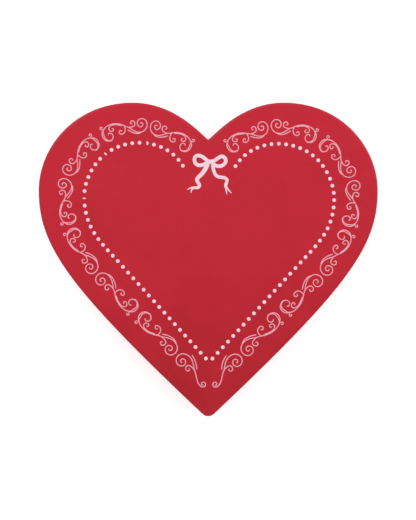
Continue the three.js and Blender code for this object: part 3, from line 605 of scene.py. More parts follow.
VELVET = velvet("velvet", (226, 168, 182), (208, 142, 160), (240, 200, 210))
FELT = velvet("felt", (120, 26, 36), (98, 20, 30), (146, 44, 54))
BRASS = metal("brass", (214, 176, 92), (176, 136, 62), (240, 212, 140), (0.22, 0.38))
STEEL = metal("steel", (188, 190, 194), (150, 152, 157), (224, 226, 228), (0.22, 0.38))
TURNED = metal(
    "turned_steel", (196, 198, 202), (160, 163, 168), (228, 230, 232), (0.16, 0.3), 900, (4, 1, 1)
)
BLUED = metal("blued_steel", (66, 78, 104), (44, 50, 70), (128, 134, 148), (0.24, 0.4))
ZINC = metal(
    "cast_zinc", (158, 160, 163), (128, 130, 134), (196, 198, 200), (0.4, 0.58), 700, depth=0.00006
)
MIRROR = mirror_glass()
ACRYLIC = clear_acrylic()

# ------ pieces made from CAD solids

BODY_OF = {n: body for body, nodes in frame["record"]["behaviour"]["bodies"].items() for n in nodes}


def refined(node, name, material, width, segments=2, body=None):
    """A CAD solid made again as a finer piece: its flats joined into whole faces, its edges eased."""
    work = bmesh.new()
    work.from_mesh(frame["nodes"][node].data)
    close, flat = 2e-6, math.radians(1.5)
    bmesh.ops.remove_doubles(work, verts=work.verts, dist=close)
    bmesh.ops.dissolve_limit(work, angle_limit=flat, verts=work.verts, edges=work.edges)
    shape = Shape()
    shape.points = [v.co / MM for v in work.verts]
    shape.faces = [tuple(v.index for v in f.verts) for f in work.faces]
    work.free()
    eased(piece(name, shape, body or BODY_OF[node], material, node), width, segments)


def eased(obj, width, segments=2):
    """Rounds a piece's edges, before its shading is evened."""
    bevel = obj.modifiers.new("eased edges", "BEVEL")
    bevel.width = width * MM
    bevel.segments = segments
    bevel.limit_method = "ANGLE"
    bevel.angle_limit = math.radians(32)
    bevel.use_clamp_overlap = True
    obj.modifiers.move(len(obj.modifiers) - 1, 0)


def middle(node):
    """The centre and the corners of a CAD node."""
    lo, hi = corners(node)
    return (lo + hi) / 2, lo, hi


def lathe(profile, at, closed=False, steps=4, sides=40):
    """A turned shape about the upright axis through a point, from (radius, z, rounding) corners."""
    return Shape().turn(rounded(profile, closed, steps), (at.x, at.y, 0), "Z", sides, closed)


def turned(name, node, profile, material, slot=None, **settings):
    """A turned piece about a CAD node's upright axis."""
    shape = lathe(profile, middle(node)[0], **settings)
    return piece(name, shape, BODY_OF[node], material, node)


# ------ openings, feet and hinges

GAP = 0.3  # free space round a hinge leaf in the wood
LEAF_T = 0.8
KNUCKLE_R = 1.5
hinge_axis = middle("hinge_right_pin")[0]
LEAF_FRONT = corners("hinge_right_lower_leaf")[0].y
LEAF_HALF = 8.0  # half length of a hinge
BEYOND = 20  # cutting shapes run on past the wood by this much

wall_cuts, rim_cuts, knuckle_cuts = Shape(), Shape(), Shape()
for side in (-1, 1):
    x0 = side * hinge_axis.x - LEAF_HALF - GAP
    x1 = side * hinge_axis.x + LEAF_HALF + GAP
    front, back = LEAF_FRONT - GAP, hinge_axis.y - KNUCKLE_R - GAP
    behind, below = LOBE_TOP + BEYOND, rim_lo.z - BEYOND
    block(wall_cuts, x0, x1, front, behind, wall_hi.z - LEAF_T, wall_hi.z + BEYOND)
    block(rim_cuts, x0, x1, front, behind, below, rim_lo.z + LEAF_T)
    block(knuckle_cuts, x0, x1, back, behind, below, hinge_axis.z + KNUCKLE_R + GAP)
cut_with(case_wall, wall_cuts)
cut_with(lid_frame, rim_cuts)
cut_with(lid_frame, knuckle_cuts)

drum_axis = middle("winding_arbor")[0]
KEY_HOLE_R, SCREW_HOLE_R = 5.0, 1.7
THROUGH = 5  # a hole's cutter runs on past each face by this much
base_cuts = Shape()
base_holes = [(drum_axis, KEY_HOLE_R)]
base_holes += [(middle(f"mount_screw_{i}")[0], SCREW_HOLE_R) for i in (1, 2)]
for at, radius in base_holes:
    base_cuts.turn([(radius, base_lo.z - THROUGH), (radius, base_hi.z + THROUGH)], (at.x, at.y, 0))
cut_with(case_base, base_cuts)

# Turned bun feet on felt.
BUN = [(4.5, 0.55), (6.1, 1.25), (7.4, 2.9), (8.0, 5.0), (7.65, 7.0), (6.7, 8.8), (5.3, 10.2), (4.75, 11.0)]
BEAD = [(4.75, 11.4), (5.6, 11.65), (6.25, 12.15), (6.4, 12.9)]
CORE = 0.5  # a turned face is closed from this radius in
FELT_R, FELT_T = 4.3, 0.6
for place in ("left", "right", "front"):
    at, foot_lo, foot_hi = middle(f"foot_{place}")
    profile = [(CORE, BUN[0][1]), *smooth_line(BUN, 0.45), *smooth_line(BEAD, 0.3)]
    profile += [(BEAD[-1][0], foot_hi.z), (CORE, foot_hi.z)]
    foot = Shape().turn(profile, (at.x, at.y, 0), sides=72)
    piece(f"bun_foot_{place}", foot, "case", RED, f"foot_{place}")
    pad = rounded([(CORE, 0, 0), (FELT_R, 0, 0.15), (FELT_R, FELT_T, 0.1), (CORE, FELT_T, 0)])
    felt = Shape().turn(pad, (at.x, at.y, foot_lo.z), sides=48)
    piece(f"foot_felt_{place}", felt, "case", FELT)


SLOT_HALF = 0.25  # half width of a screw's slot


def screws(name, body, material, seats, size, node=None, up=1):
    """One piece of domed, slotted screws.

    Seats are (x, y, z under the head, slot's turn in degrees), size is (head radius, head height, shank
    radius, shank length), and up is -1 for heads that hang below."""
    head_r, head_h, shank_r, shank_l = size
    profile = rounded(
        [(0.2, -shank_l, 0), (shank_r, -shank_l, shank_r * 0.5), (shank_r, 0, 0), (head_r, 0, 0.08),
         (head_r, head_h * 0.7, 0.12), (head_r * 0.72, head_h, head_h * 0.4), (0.2, head_h, 0)],
        steps=3,
    )
    one = Shape().turn([(p[0], p[1] * up) for p in profile], sides=32)
    made, slots = Shape(), Shape()
    for x, y, z, turn in seats:
        made.add(one, Matrix.Translation((x, y, z)))
        bottom, top = sorted((z + up * head_h * 0.5, z + up * (head_h + 1)))
        bar = block(Shape(), -head_r - 1, head_r + 1, -SLOT_HALF, SLOT_HALF, bottom, top)
        slots.add(bar, Matrix.Translation((x, y, 0)) @ Matrix.Rotation(math.radians(turn), 4, "Z"))
    cut_with(piece(name, made, body, material, node), slots)


# Butt hinges, each leaf held by two countersunk screws.
HINGE_SCREW_X, HINGE_SCREW_Y = 5, 67.3  # beside the hinge's middle, and how far back
HINGE_SCREW = (1.25, 0.13, 0.6, 0.5)
PIN_END, PIN_NECK = 8.25, 8.05  # a pin's heads end and begin this far from its middle
HEAD_R, ROD_R = 1.1, 0.7
for label, side in (("left", -1), ("right", 1)):
    hinge_x = side * hinge_axis.x
    refined(f"hinge_{label}_lower_leaf", f"{label}_hinge_case_leaf", BRASS, 0.12)
    refined(f"hinge_{label}_upper_leaf", f"{label}_hinge_lid_leaf", BRASS, 0.12)
    end = [(0.3, PIN_END, 0), (HEAD_R, PIN_END, 0.12), (HEAD_R, PIN_NECK, 0), (ROD_R, PIN_NECK, 0)]
    ends = [(r, -h, e) for r, h, e in end] + [(r, h, e) for r, h, e in reversed(end)]
    pin = Shape().turn(rounded(ends), (hinge_x, hinge_axis.y, hinge_axis.z), "X", 32)
    piece(f"{label}_hinge_rod", pin, "case", BRASS, f"hinge_{label}_pin")
    places = [hinge_x - HINGE_SCREW_X, hinge_x + HINGE_SCREW_X]
    top = [(x, HINGE_SCREW_Y, wall_hi.z, 30 * side) for x in places]
    screws(f"{label}_hinge_case_screws", "case", BRASS, top, HINGE_SCREW)
    under = [(x, HINGE_SCREW_Y, rim_lo.z, -50 * side) for x in places]
    screws(f"{label}_hinge_lid_screws", "lid", BRASS, under, HINGE_SCREW, up=-1)

# ------ linings, pads and partitions


def heart_tube(inset, z, radius, scale=1.0, shift=0.0):
    """A welt: a round cord that runs along the heart."""
    profile = [(inset + radius * c, z + radius * s) for c, s in circle(12)]
    return heart_sweep(profile, True, scale, shift)


lining_lo, lining_hi = corners("wall_lining")
SHY = 0.05  # velvet stops this far under its CAD solid's top
LINING_IN = WIDEST - lining_hi.x + 0.02
LINING_FACE = LINING_IN + 0.93  # the lining is this thick at its crown
lining_profile = rounded(
    [(LINING_IN, lining_lo.z, 0), (LINING_IN, lining_hi.z - SHY, 0.3),
     (LINING_FACE - 0.12, lining_hi.z - SHY, 0.35), (LINING_FACE, (lining_lo.z + lining_hi.z) / 2, 40),
     (LINING_FACE - 0.15, lining_lo.z, 0)],
    closed=True,
)
piece("wall_velvet", heart_sweep(lining_profile, loop=True), "case", VELVET, "wall_lining")
welt = heart_tube(LINING_IN + 0.55, lining_hi.z + 0.1, radius=0.5)
piece("wall_velvet_welt", welt, "case", VELVET)

SIM_SCALE = 10.0  # cloth behaves better on a larger copy
SIM_FRAMES = 20
PRESSURE = 4.0
SHRINK, SWELL = 0.3, 0.9  # a pad starts this much smaller, and no point moves further than this


def puffed(name, node, rest_z, voxel=1.35):
    """A padded piece in a CAD solid's space, blown up by cloth pressure against the board it rests on."""
    lo, hi = corners(node)
    unit = SIM_SCALE * MM
    source = frame["nodes"][node].data.copy()
    source.transform(Matrix.Scale(SIM_SCALE, 4))
    blank = linked("blank", source)
    remesh = blank.modifiers.new("even mesh", "REMESH")
    remesh.mode = "VOXEL"
    remesh.voxel_size = voxel * unit
    soften = blank.modifiers.new("soft edges", "SMOOTH")
    soften.factor = 0.5
    soften.iterations = 5
    mesh = made_real(blank)
    bpy.data.objects.remove(blank)
    resting = []
    for v in mesh.vertices:
        on_board = abs(v.co.z - rest_z * unit) < 0.6 * voxel * unit
        v.co -= v.normal * (SHRINK * unit)
        if on_board:
            v.co.z = rest_z * unit
            resting.append(v.index)
    start = [v.co.copy() for v in mesh.vertices]
    obj = linked(name, mesh)
    held = obj.vertex_groups.new(name="held")
    held.add(resting, 1.0, "REPLACE")
    cloth = obj.modifiers.new("filling", "CLOTH")
    cloth.settings.use_pressure = True
    cloth.settings.uniform_pressure_force = PRESSURE
    cloth.settings.effector_weights.gravity = 0
    cloth.settings.vertex_group_mass = held.name
    cloth.point_cache.frame_start = 1
    cloth.point_cache.frame_end = SIM_FRAMES
    for step in range(1, SIM_FRAMES + 1):
        bpy.context.scene.frame_set(step)
    obj.data = made_real(obj)
    obj.modifiers.clear()
    obj.vertex_groups.clear()
    bpy.context.scene.frame_set(1)
    for v, before in zip(obj.data.vertices, start):
        move = v.co - before
        if move.length > SWELL * unit:
            move *= SWELL * unit / move.length
        v.co = (before + move) / unit
        v.co.z = min(max(v.co.z, lo.z), hi.z)
        v.co *= MM
    obj.data.materials.clear()
    obj.data.materials.append(VELVET)
    obj.data.shade_smooth()
    obj.modifiers.new("smooth cover", "SUBSURF").render_levels = 1
    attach(obj, BODY_OF[node])
    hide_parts(node)


for place in ("front", "left", "right"):
    puffed(f"{place}_floor_cushion", f"floor_pad_{place}", base_hi.z)
lid_pad_lo, lid_pad_hi = corners("lid_lining")
puffed("lid_cushion", "lid_lining", lid_pad_hi.z, voxel=1.5)
lid_welt = heart_tube(WIDEST - lid_pad_hi.x + 0.55, lid_pad_lo.z + 0.6, radius=0.55)
piece("lid_cushion_welt", lid_welt, "lid", VELVET)

INNER = heart(LINING_FACE + 0.2)


def reach(axis, across):
    """How far the space inside the lining goes along an axis (0 x, 1 y), at a place across it."""
    best = 0.0
    for p, q in zip(INNER, INNER[1:] + INNER[:1]):
        a, b = p[1 - axis], q[1 - axis]
        if a != b and (a - across) * (b - across) <= 0:
            best = max(best, p[axis] + (q[axis] - p[axis]) * (across - a) / (b - a))
    return best


PARTITION_STEPS = 24


def partition(place, axis):
    """A velvet-covered board along an axis: soft upper edge, ends cut to the heart."""
    node = f"divider_{place}"
    lo, hi = corners(node)
    low, high = lo[1 - axis], hi[1 - axis]
    section = rounded(
        [(low, lo.z, 0.2), (low, hi.z - SHY, 1.0), (high, hi.z - SHY, 1.0), (high, lo.z, 0.2)], closed=True
    )
    rings = []
    for i in range(PARTITION_STEPS + 1):
        ring = []
        for across, z in section:
            end = reach(axis, across)
            start = lo[axis] if axis else -end
            at = start + (end - start) * i / PARTITION_STEPS
            ring.append((across, at, z) if axis else (at, across, z))
        rings.append(ring)
    piece(f"{place}_partition", Shape().skin(rings), "case", VELVET, node)


for place, axis in (("front", 0), ("left", 1), ("right", 1)):
    partition(place, axis)

# The mirror has a ground bevel and lies in a corded edge.
glass_lo, glass_hi = corners("mirror")
GLASS_SCALE = (glass_hi.x - glass_lo.x) / (2 * WIDEST)
GLASS_SHIFT = glass_hi.y - LOBE_TOP * GLASS_SCALE
BEVEL_WIDE, BEVEL_HIGH = 2.2, 0.75
GLASS_SKIRT = 5  # its profile runs this far in before its flat faces are closed
glass_profile = [(GLASS_SKIRT, glass_hi.z), (0, glass_hi.z), (0, glass_lo.z + BEVEL_HIGH),
                 (BEVEL_WIDE, glass_lo.z), (GLASS_SKIRT, glass_lo.z)]
glass_shape = heart_sweep(glass_profile, scale=GLASS_SCALE, shift=GLASS_SHIFT)
piece("heart_mirror", glass_shape, "lid", MIRROR, "mirror", sharp=8)
CORD_OUT = 0.75  # the cord runs this far outside the glass
mirror_welt = heart_tube(-CORD_OUT, glass_lo.z + 0.15, 0.6, GLASS_SCALE, GLASS_SHIFT)
piece("mirror_welt", mirror_welt, "lid", VELVET)


def set_screw(name, node, material, size, turn, up=1):
    """One slotted screw of the case, in a CAD node's place."""
    at, lo, hi = middle(node)
    z = hi.z - size[1] if up > 0 else lo.z + size[1]
    screws(name, "case", material, [(at.x, at.y, z, turn)], size, node, up)


refined("movement_cover", "clear_cover", ACRYLIC, 0.35, 3)
for label, turn in (("left", 20), ("right", 65)):
    set_screw(f"{label}_cover_screw", f"cover_screw_{label}", BRASS, (1.7, 1, 0.8, 7), turn)

# ------ the key

KEY_BORE, KEY_FLOOR = 1.56, 9.2  # the hole for the winding shaft, and how far down it goes
EYE_R, EYE_X, EYE_Z = 1.9, 7.6, 6.3


def key():
    """Butterfly key: wings with two eyes, set in a slotted stem."""
    at, stem_lo, stem_hi = middle("key_stem")
    wing_lo, wing_hi = corners("key_wings")
    r, top = (stem_hi.x - stem_lo.x) / 2, stem_hi.z
    neck = r - 0.35
    profile = [
        (0.2, stem_lo.z, 0), (r, stem_lo.z, 0.6), (r, top - 2.2, 0.2), (neck, top - 2.0, 0.1),
        (neck, top - 1.5, 0.1), (r, top - 1.3, 0.2), (r, top, 0.3), (KEY_BORE, top, 0.1),
        (KEY_BORE, KEY_FLOOR, 0), (0.2, KEY_FLOOR, 0),
    ]
    shank = turned("key_shank", "key_stem", profile, BRASS, steps=5, sides=48)
    gap = (wing_hi.y - wing_lo.y) / 2 + 0.02
    cut_with(shank, block(Shape(), at.x - 5, at.x + 5, at.y - gap, at.y + gap, 0, KEY_FLOOR + 0.15))
    half = joined(
        (0, 5.2),
        ((4, 4.4), (5, 2.2), (8, 2.2)),
        ((10.6, 2.2), (12, 4), (12, 6.2)),
        ((12, 8.6), (10.6, 10.4), (8, 10.4)),
        ((5, 10.4), (4, 9.4), (0, 9)),
    )
    right = [p for p, _ in trace(half, 16)]
    outline = right + [Vector((-p.x, p.y)) for p in reversed(right[1:-1])]
    faces = [wing_lo.y, wing_hi.y]
    wings = Shape().skin([[(at.x + p.x, y, p.y) for p in outline] for y in faces])
    bow_piece = piece("key_bow", wings, "winder", BRASS, "key_wings")
    eyes = Shape()
    for side in (-1, 1):
        ends = [(EYE_R, faces[0] - 1), (EYE_R, faces[1] + 1)]
        eyes.turn(ends, (at.x + side * EYE_X, 0, EYE_Z), "Y", 40)
    cut_with(bow_piece, eyes)
    eased(bow_piece, 0.4, 3)


key()

# ------ the movement

PRESSURE_ANGLE = math.radians(20)
TOOTH_TOP, TOOTH_FOOT = 0.9, 1.15  # beyond the pitch circle, in modules
TOOTH_FILL = 0.42  # the share of a tooth's pitch that is metal
CHAMFER = 0.12


def gear_outline(teeth, module, phase):
    """Involute teeth about the origin, as (radius, angle) points."""
    pitch = teeth * module / 2
    base = pitch * math.cos(PRESSURE_ANGLE)
    tip, root = pitch + TOOTH_TOP * module, pitch - TOOTH_FOOT * module

    def involute(r):
        a = math.acos(min(1.0, base / max(r, base)))
        return math.tan(a) - a

    flank = [root + (tip - root) * k / 5 for k in range(6)]
    points = []
    for i in range(teeth):
        centre = phase + 2 * math.pi * i / teeth
        half = [TOOTH_FILL * math.pi / teeth + involute(pitch) - involute(r) for r in flank]
        points.extend((r, centre - h) for r, h in zip(flank, half))
        points.extend((r, centre + h) for r, h in reversed(list(zip(flank, half))))
    return points


def gear(shape, teeth, module, phase, x0, x1, centre, bore, slope=0.0):
    """Adds a toothed wheel with a bore on an axis along X; slope twists it, in radians per millimetre."""
    outline = gear_outline(teeth, module, phase)
    slices = [(x0, CHAMFER), (x0 + CHAMFER, 0.0)]
    inner_steps = 4 if slope else 1
    for k in range(1, inner_steps + 1):
        slices.append((x0 + CHAMFER + (x1 - x0 - 2 * CHAMFER) * k / inner_steps, 0.0))
    slices.append((x1, CHAMFER))
    rings = []
    for x, less in slices:
        turn = slope * (x - (x0 + x1) / 2)
        ring = []
        for r, a in outline:
            ring.append((x, (r - less) * math.cos(a + turn), (r - less) * math.sin(a + turn)))
        rings.append(ring)
    for x in (x1, x0):
        rings.append([(x, bore * math.cos(a), bore * math.sin(a)) for _, a in outline])
    rings = [[Vector(p) + Vector((0, centre.y, centre.z)) for p in ring] for ring in rings]
    return shape.skin(rings, loop=True)


PLAY = 0.02  # how much wider a wheel's bore is than its arbor, in radius


def rod(name, node, edge):
    """A turned rod along X in a CAD node's place; gives back its axis and radius."""
    at, lo, hi = middle(node)
    r = (hi.z - lo.z) / 2
    profile = rounded([(edge, lo.x, 0), (r, lo.x, edge), (r, hi.x, edge), (edge, hi.x, 0)])
    shape = Shape().turn(profile, (0, at.y, at.z), "X", 40)
    piece(name, shape, BODY_OF[node], TURNED, node)
    return at, r


cylinder_axis, arbor_r = rod("cylinder_shaft", "cylinder_arbor", 0.3)
ARBOR_BORE = arbor_r + PLAY

TRACKS = 18
STEPS_ROUND = 24
PIN_R = 0.17
PIN_OUT = 0.7  # how far the pins stand out of the cylinder
END_RECESS = 0.5


def note_cylinder():
    """The brass cylinder and its pins, which follow a short repeating figure round each track."""
    at, lo, hi = middle("cylinder")
    r = hi.z - at.z - PIN_OUT
    low, high = lo.x + END_RECESS, hi.x - END_RECESS
    profile = rounded(
        [(ARBOR_BORE, low, 0), (r - 1.0, low, 0.1), (r - 0.7, lo.x, 0.1), (r, lo.x, 0.2),
         (r, hi.x, 0.2), (r - 0.7, hi.x, 0.1), (r - 1.0, high, 0.1), (ARBOR_BORE, high, 0)],
        closed=True,
    )
    shape = Shape().turn(profile, (0, cylinder_axis.y, cylinder_axis.z), "X", 120, loop=True)
    tip = [(PIN_R, r + 0.45), (PIN_R * 0.85, r + 0.62), (PIN_R * 0.4, r + PIN_OUT)]
    pin = Shape().turn([(PIN_R, r - 0.3), *tip], sides=10)
    for track in range(TRACKS):
        for beat in range(STEPS_ROUND):
            if (beat * 5 + track * 7 + (track % 3) * beat) % 11 != 3:
                continue
            turn = math.radians(beat * 360 / STEPS_ROUND + 3 * (track % 2))
            place = Matrix.Translation((lo.x + 1 + track, cylinder_axis.y, cylinder_axis.z))
            shape.add(pin, place @ Matrix.Rotation(turn, 4, "X"))
    piece("note_cylinder", shape, "cylinder", BRASS, "cylinder")


note_cylinder()

for node, teeth, module, phase in (
    ("drive_pinion", 8, 0.75, math.pi / 8),
    ("cylinder_gear", 32, 0.5, 0.0),
):
    lo, hi = corners(node)
    cogs = gear(Shape(), teeth, module, phase, lo.x, hi.x, cylinder_axis, ARBOR_BORE)
    piece(f"{node}_cut", cogs, "cylinder", BRASS, node)

governor_axis, governor_r = rod("governor_shaft", "governor_arbor", 0.2)
GOVERNOR_BORE = governor_r + PLAY
wheel_lo, wheel_hi = corners("governor_wheel")
wheel_x = wheel_hi.x - 1.2  # between the wheel and its pinion
WORM_SLOPE = 0.08  # the worm's thread climbs along the wheel's face
wheel = gear(Shape(), 20, 0.5, 0.0, wheel_x, wheel_hi.x, governor_axis, GOVERNOR_BORE, WORM_SLOPE)
gear(wheel, 8, 0.5, math.pi / 8, wheel_lo.x, wheel_x, governor_axis, GOVERNOR_BORE)
piece("governor_wheel_cut", wheel, "governor", BRASS, "governor_wheel")

DRUM_R, CROWN_R, INSIDE_R = 10.2, 13.0, 9.4
DRUM_BORE = 2.06
CROWN_TEETH = 32
CROWN_WIDE, CROWN_SLIM, CROWN_HIGH = 0.74, 0.24, 1.39  # half widths at foot and tip, and height
SPRING_TURNS, SPRING_HALF = 6, 0.13  # the mainspring's turns, and half its thickness
SPRING_FIRST, SPRING_LAST = 2.8, 9.05  # and its radius inside and outside


def drum():
    """The spring drum: a cup with a crown wheel round its foot, its cap and the spring inside."""
    at, lo, hi = middle("spring_drum")
    flange, face, inside = lo.z + 2.71, lo.z + 4.01, lo.z + 1
    shape = lathe([
        (DRUM_BORE, lo.z, 0), (DRUM_R, lo.z, 0.4), (DRUM_R, flange, 0.1), (CROWN_R, flange, 0.2),
        (CROWN_R, face, 0.1), (DRUM_R, face, 0.2), (DRUM_R, hi.z, 0.2), (INSIDE_R, hi.z, 0.15),
        (INSIDE_R, inside, 0.3), (DRUM_BORE, inside, 0),
    ], at, closed=True, steps=5, sides=120)
    low, tip = face - 0.05, face + CROWN_HIGH
    for i in range(CROWN_TEETH):
        rings = []
        for radius, share in ((11.0, 0.9), (CROWN_R - 0.05, 1.0)):
            wide, slim = CROWN_WIDE * share, CROWN_SLIM * share
            section = [(-wide, low), (wide, low), (slim, tip - 0.1), (slim * 0.5, tip),
                       (-slim * 0.5, tip), (-slim, tip - 0.1)]
            rings.append([(radius, y, z) for y, z in section])
        turn = Matrix.Rotation(2 * math.pi * i / CROWN_TEETH, 4, "Z")
        shape.add(Shape().skin(rings), Matrix.Translation((at.x, at.y, 0)) @ turn)
    piece("spring_drum_turned", shape, "drum", STEEL, "spring_drum")
    lo, hi = corners("drum_cap")
    r, ledge, floor_z = (hi.x - lo.x) / 2, hi.z - 0.1, hi.z - 0.35
    profile = [
        (DRUM_BORE, lo.z, 0), (r, lo.z, 0.1), (r, ledge, 0.1), (r - 1.2, ledge, 0.1),
        (r - 1.5, floor_z, 0.1), (4.2, floor_z, 0.1), (3.9, hi.z, 0.1), (DRUM_BORE, hi.z, 0),
    ]
    turned("spring_drum_cap", "drum_cap", profile, STEEL, closed=True, steps=5, sides=96)
    lo, hi = corners("mainspring")
    per_turn = 48
    rings = []
    for i in range(SPRING_TURNS * per_turn + 1):
        a = 2 * math.pi * i / per_turn
        radius = SPRING_FIRST + (SPRING_LAST - SPRING_FIRST) * i / (SPRING_TURNS * per_turn)
        way = Vector((math.cos(a), math.sin(a), 0))
        ring = []
        for side, z in ((-1, lo.z), (1, lo.z), (1, hi.z), (-1, hi.z)):
            ring.append(Vector((at.x, at.y, z)) + way * (radius + side * SPRING_HALF))
        rings.append(ring)
    piece("mainspring_strip", Shape().skin(rings), "drum", BLUED, "mainspring")


drum()

arbor, wind_lo, wind_hi = middle("winding_arbor")
WIND_TIP_R, WIND_R = 1.45, 2.0
SHOULDER, SQUARE_FOOT = 35.1, 37.65  # heights of its shoulder, and of where the square begins
wound = lathe([
    (0.2, wind_lo.z, 0), (WIND_TIP_R, wind_lo.z, 0.3), (WIND_TIP_R, 17.2, 0.1), (WIND_R, 17.4, 0.2),
    (WIND_R, SHOULDER, 0.2), (1.5, SHOULDER + 0.1, 0), (1.5, SQUARE_FOOT, 0.1), (0.2, SQUARE_FOOT, 0),
], arbor)
SQUARE = [(1.1, 1.1), (-1.1, 1.1), (-1.1, -1.1), (1.1, -1.1)]
rings = []
for z, share in ((SQUARE_FOOT - 0.15, 1.0), (wind_hi.z - 0.25, 1.0), (wind_hi.z, 0.8)):
    rings.append([(arbor.x + x * share, arbor.y + y * share, z) for x, y in SQUARE])
wound.skin(rings)
piece("winding_shaft", wound, "winder", TURNED, "winding_arbor")

PILLAR_R, PILLAR_WAIST = 2.2, 1.8
for place in ("front", "rear"):
    node = f"bridge_pillar_{place}"
    lo, hi = corners(node)
    turned(f"{place}_pillar", node, [
        (0.3, lo.z, 0), (PILLAR_R, lo.z, 0.2), (PILLAR_R, lo.z + 1.6, 0.2), (PILLAR_WAIST, lo.z + 2.2, 0.4),
        (PILLAR_WAIST, hi.z - 2.2, 0.4), (PILLAR_R, hi.z - 1.6, 0.2), (PILLAR_R, hi.z, 0.15), (0.3, hi.z, 0),
    ], BRASS)

BRIDGE_SCREW, COMB_SCREW = (2, 1.2, 1, 6), (2, 1.2, 1, 6.5)
for node, name, size, turn in (
    ("bridge_screw_front", "front_bridge_screw", BRIDGE_SCREW, 35),
    ("bridge_screw_rear", "rear_bridge_screw", BRIDGE_SCREW, -20),
    ("comb_screw_1", "left_comb_screw", COMB_SCREW, 70),
    ("comb_screw_2", "right_comb_screw", COMB_SCREW, 15),
    ("governor_screw", "governor_foot_screw", (1.5, 1, 0.8, 3.4), 50),
    ("click_screw", "click_pivot_screw", (1.4, 0.8, 0.8, 3.4), 10),
):
    set_screw(name, node, BLUED, size, turn)
for i, turn in ((1, 25), (2, -40)):
    set_screw(f"base_screw_{i}", f"mount_screw_{i}", STEEL, (3, 1.6, 1.4, 7.6), turn, up=-1)

WORM_LEAD, WORM_HALF = math.pi, 3.0  # the thread's lead, and half its length
WORM_ROOT = 0.7
WORM_THREAD = [
    (WORM_ROOT, -0.42), (1.45, -0.26), (1.62, -0.12), (1.62, 0.12), (1.45, 0.26), (WORM_ROOT, 0.42),
]


def worm():
    """The worm: a slim spindle with a two-start thread."""
    at = middle("fly")[0]
    lo, hi = corners("worm")
    centre_z = cylinder_axis.z
    slim, core, near, far = 0.6, 0.78, 3.55, 3.6
    shape = lathe([
        (0.1, lo.z, 0), (slim, lo.z + 0.3, 0.2), (slim, centre_z - far, 0.1), (core, centre_z - near, 0.1),
        (core, centre_z + near, 0.1), (slim, centre_z + far, 0.1), (slim, hi.z - 0.3, 0.2), (0.1, hi.z, 0),
    ], at, sides=24)
    pitch = WORM_LEAD / 2
    steps = round(2 * WORM_HALF / WORM_LEAD * 40)
    for i in range(2):
        start = -math.pi / 2 + 2 * math.pi * (-WORM_HALF - pitch / 2 - i * pitch) / WORM_LEAD
        rings = []
        for k in range(steps + 1):
            z = centre_z - WORM_HALF + 2 * WORM_HALF * k / steps
            a = start + 2 * math.pi * (z - centre_z + WORM_HALF) / WORM_LEAD
            grow = min(1.0, k / 6, (steps - k) / 6)
            ring = []
            for r, dz in WORM_THREAD:
                r = WORM_ROOT + (r - WORM_ROOT) * (0.15 + 0.85 * grow)
                ring.append((at.x + r * math.cos(a), at.y + r * math.sin(a), z + dz))
            rings.append(ring)
        shape.skin(rings)
    piece("worm_spindle", shape, "fly", STEEL, "worm")


worm()

# The stop rod, which the closed lid holds down over the fly, and its spring and guide.
stop, stop_lo, stop_hi = middle("stop_rod")
guide_lo, guide_hi = corners("stop_guide")
spring_lo, spring_hi = corners("stop_spring")
STOP_R, COLLAR_R = 1.0, 2.2
collar_lo = spring_hi.z + 0.05
collar_hi = collar_lo + 1.4
turned("stop_plunger", "stop_rod", [
    (0.2, stop_lo.z, 0), (STOP_R, stop_lo.z, 0.3), (STOP_R, collar_lo, 0), (COLLAR_R, collar_lo, 0.2),
    (COLLAR_R, collar_hi, 0.2), (STOP_R, collar_hi, 0), (STOP_R, stop_hi.z, 0.6), (0.2, stop_hi.z, 0),
], TURNED, slot="steel")
GUIDE_BORE, GUIDE_R, GUIDE_WAIST = 1.06, 2.2, 1.8
turned("stop_guide_turned", "stop_guide", [
    (GUIDE_BORE, guide_lo.z, 0), (GUIDE_R, guide_lo.z, 0.2), (GUIDE_R, guide_lo.z + 1.4, 0.2),
    (GUIDE_WAIST, guide_lo.z + 1.9, 0.3), (GUIDE_WAIST, guide_hi.z - 0.8, 0.2),
    (GUIDE_R, guide_hi.z - 0.5, 0.2), (GUIDE_R, guide_hi.z, 0.2), (GUIDE_BORE, guide_hi.z, 0),
], BRASS, closed=True)

WIRE = 0.25  # the spring wire's radius
COIL_R = (spring_hi.x - spring_lo.x) / 2 - WIRE
COILS = 4
coil = []
coil_steps = COILS * 40
for i in range(coil_steps + 1):
    a = 2 * math.pi * COILS * i / coil_steps
    z = spring_lo.z + WIRE + (spring_hi.z - spring_lo.z - 2 * WIRE) * i / coil_steps
    way = Vector((math.cos(a), math.sin(a), 0))
    ring = []
    for c, s in circle(10):
        ring.append(Vector((stop.x, stop.y, z + WIRE * s)) + way * (COIL_R + WIRE * c))
    coil.append(ring)
# Its foot stands on the guide, and its head lifts the rod's collar; here it keeps one length.
foot, head = (Vector((stop.x, stop.y, z)) * MM for z in (spring_lo.z + WIRE, spring_hi.z - WIRE))
piece("stop_coil", Shape().skin(coil), ("case", "stop", foot, head), BLUED, "stop_spring")

for node, name, material, width in (
    ("bedplate", "bedplate_casting", ZINC, 0.35),
    ("governor_frame", "governor_casting", ZINC, 0.25),
    ("comb", "steel_comb", STEEL, 0.06),
    ("bridge", "drum_bridge", STEEL, 0.2),
    ("ratchet_wheel", "ratchet", STEEL, 0.08),
    ("click", "click_pawl", STEEL, 0.12),
    ("fly", "fly_vanes", BRASS, 0.1),
    ("stop_finger", "stop_arm", STEEL, 0.15),
):
    refined(node, name, material, width)
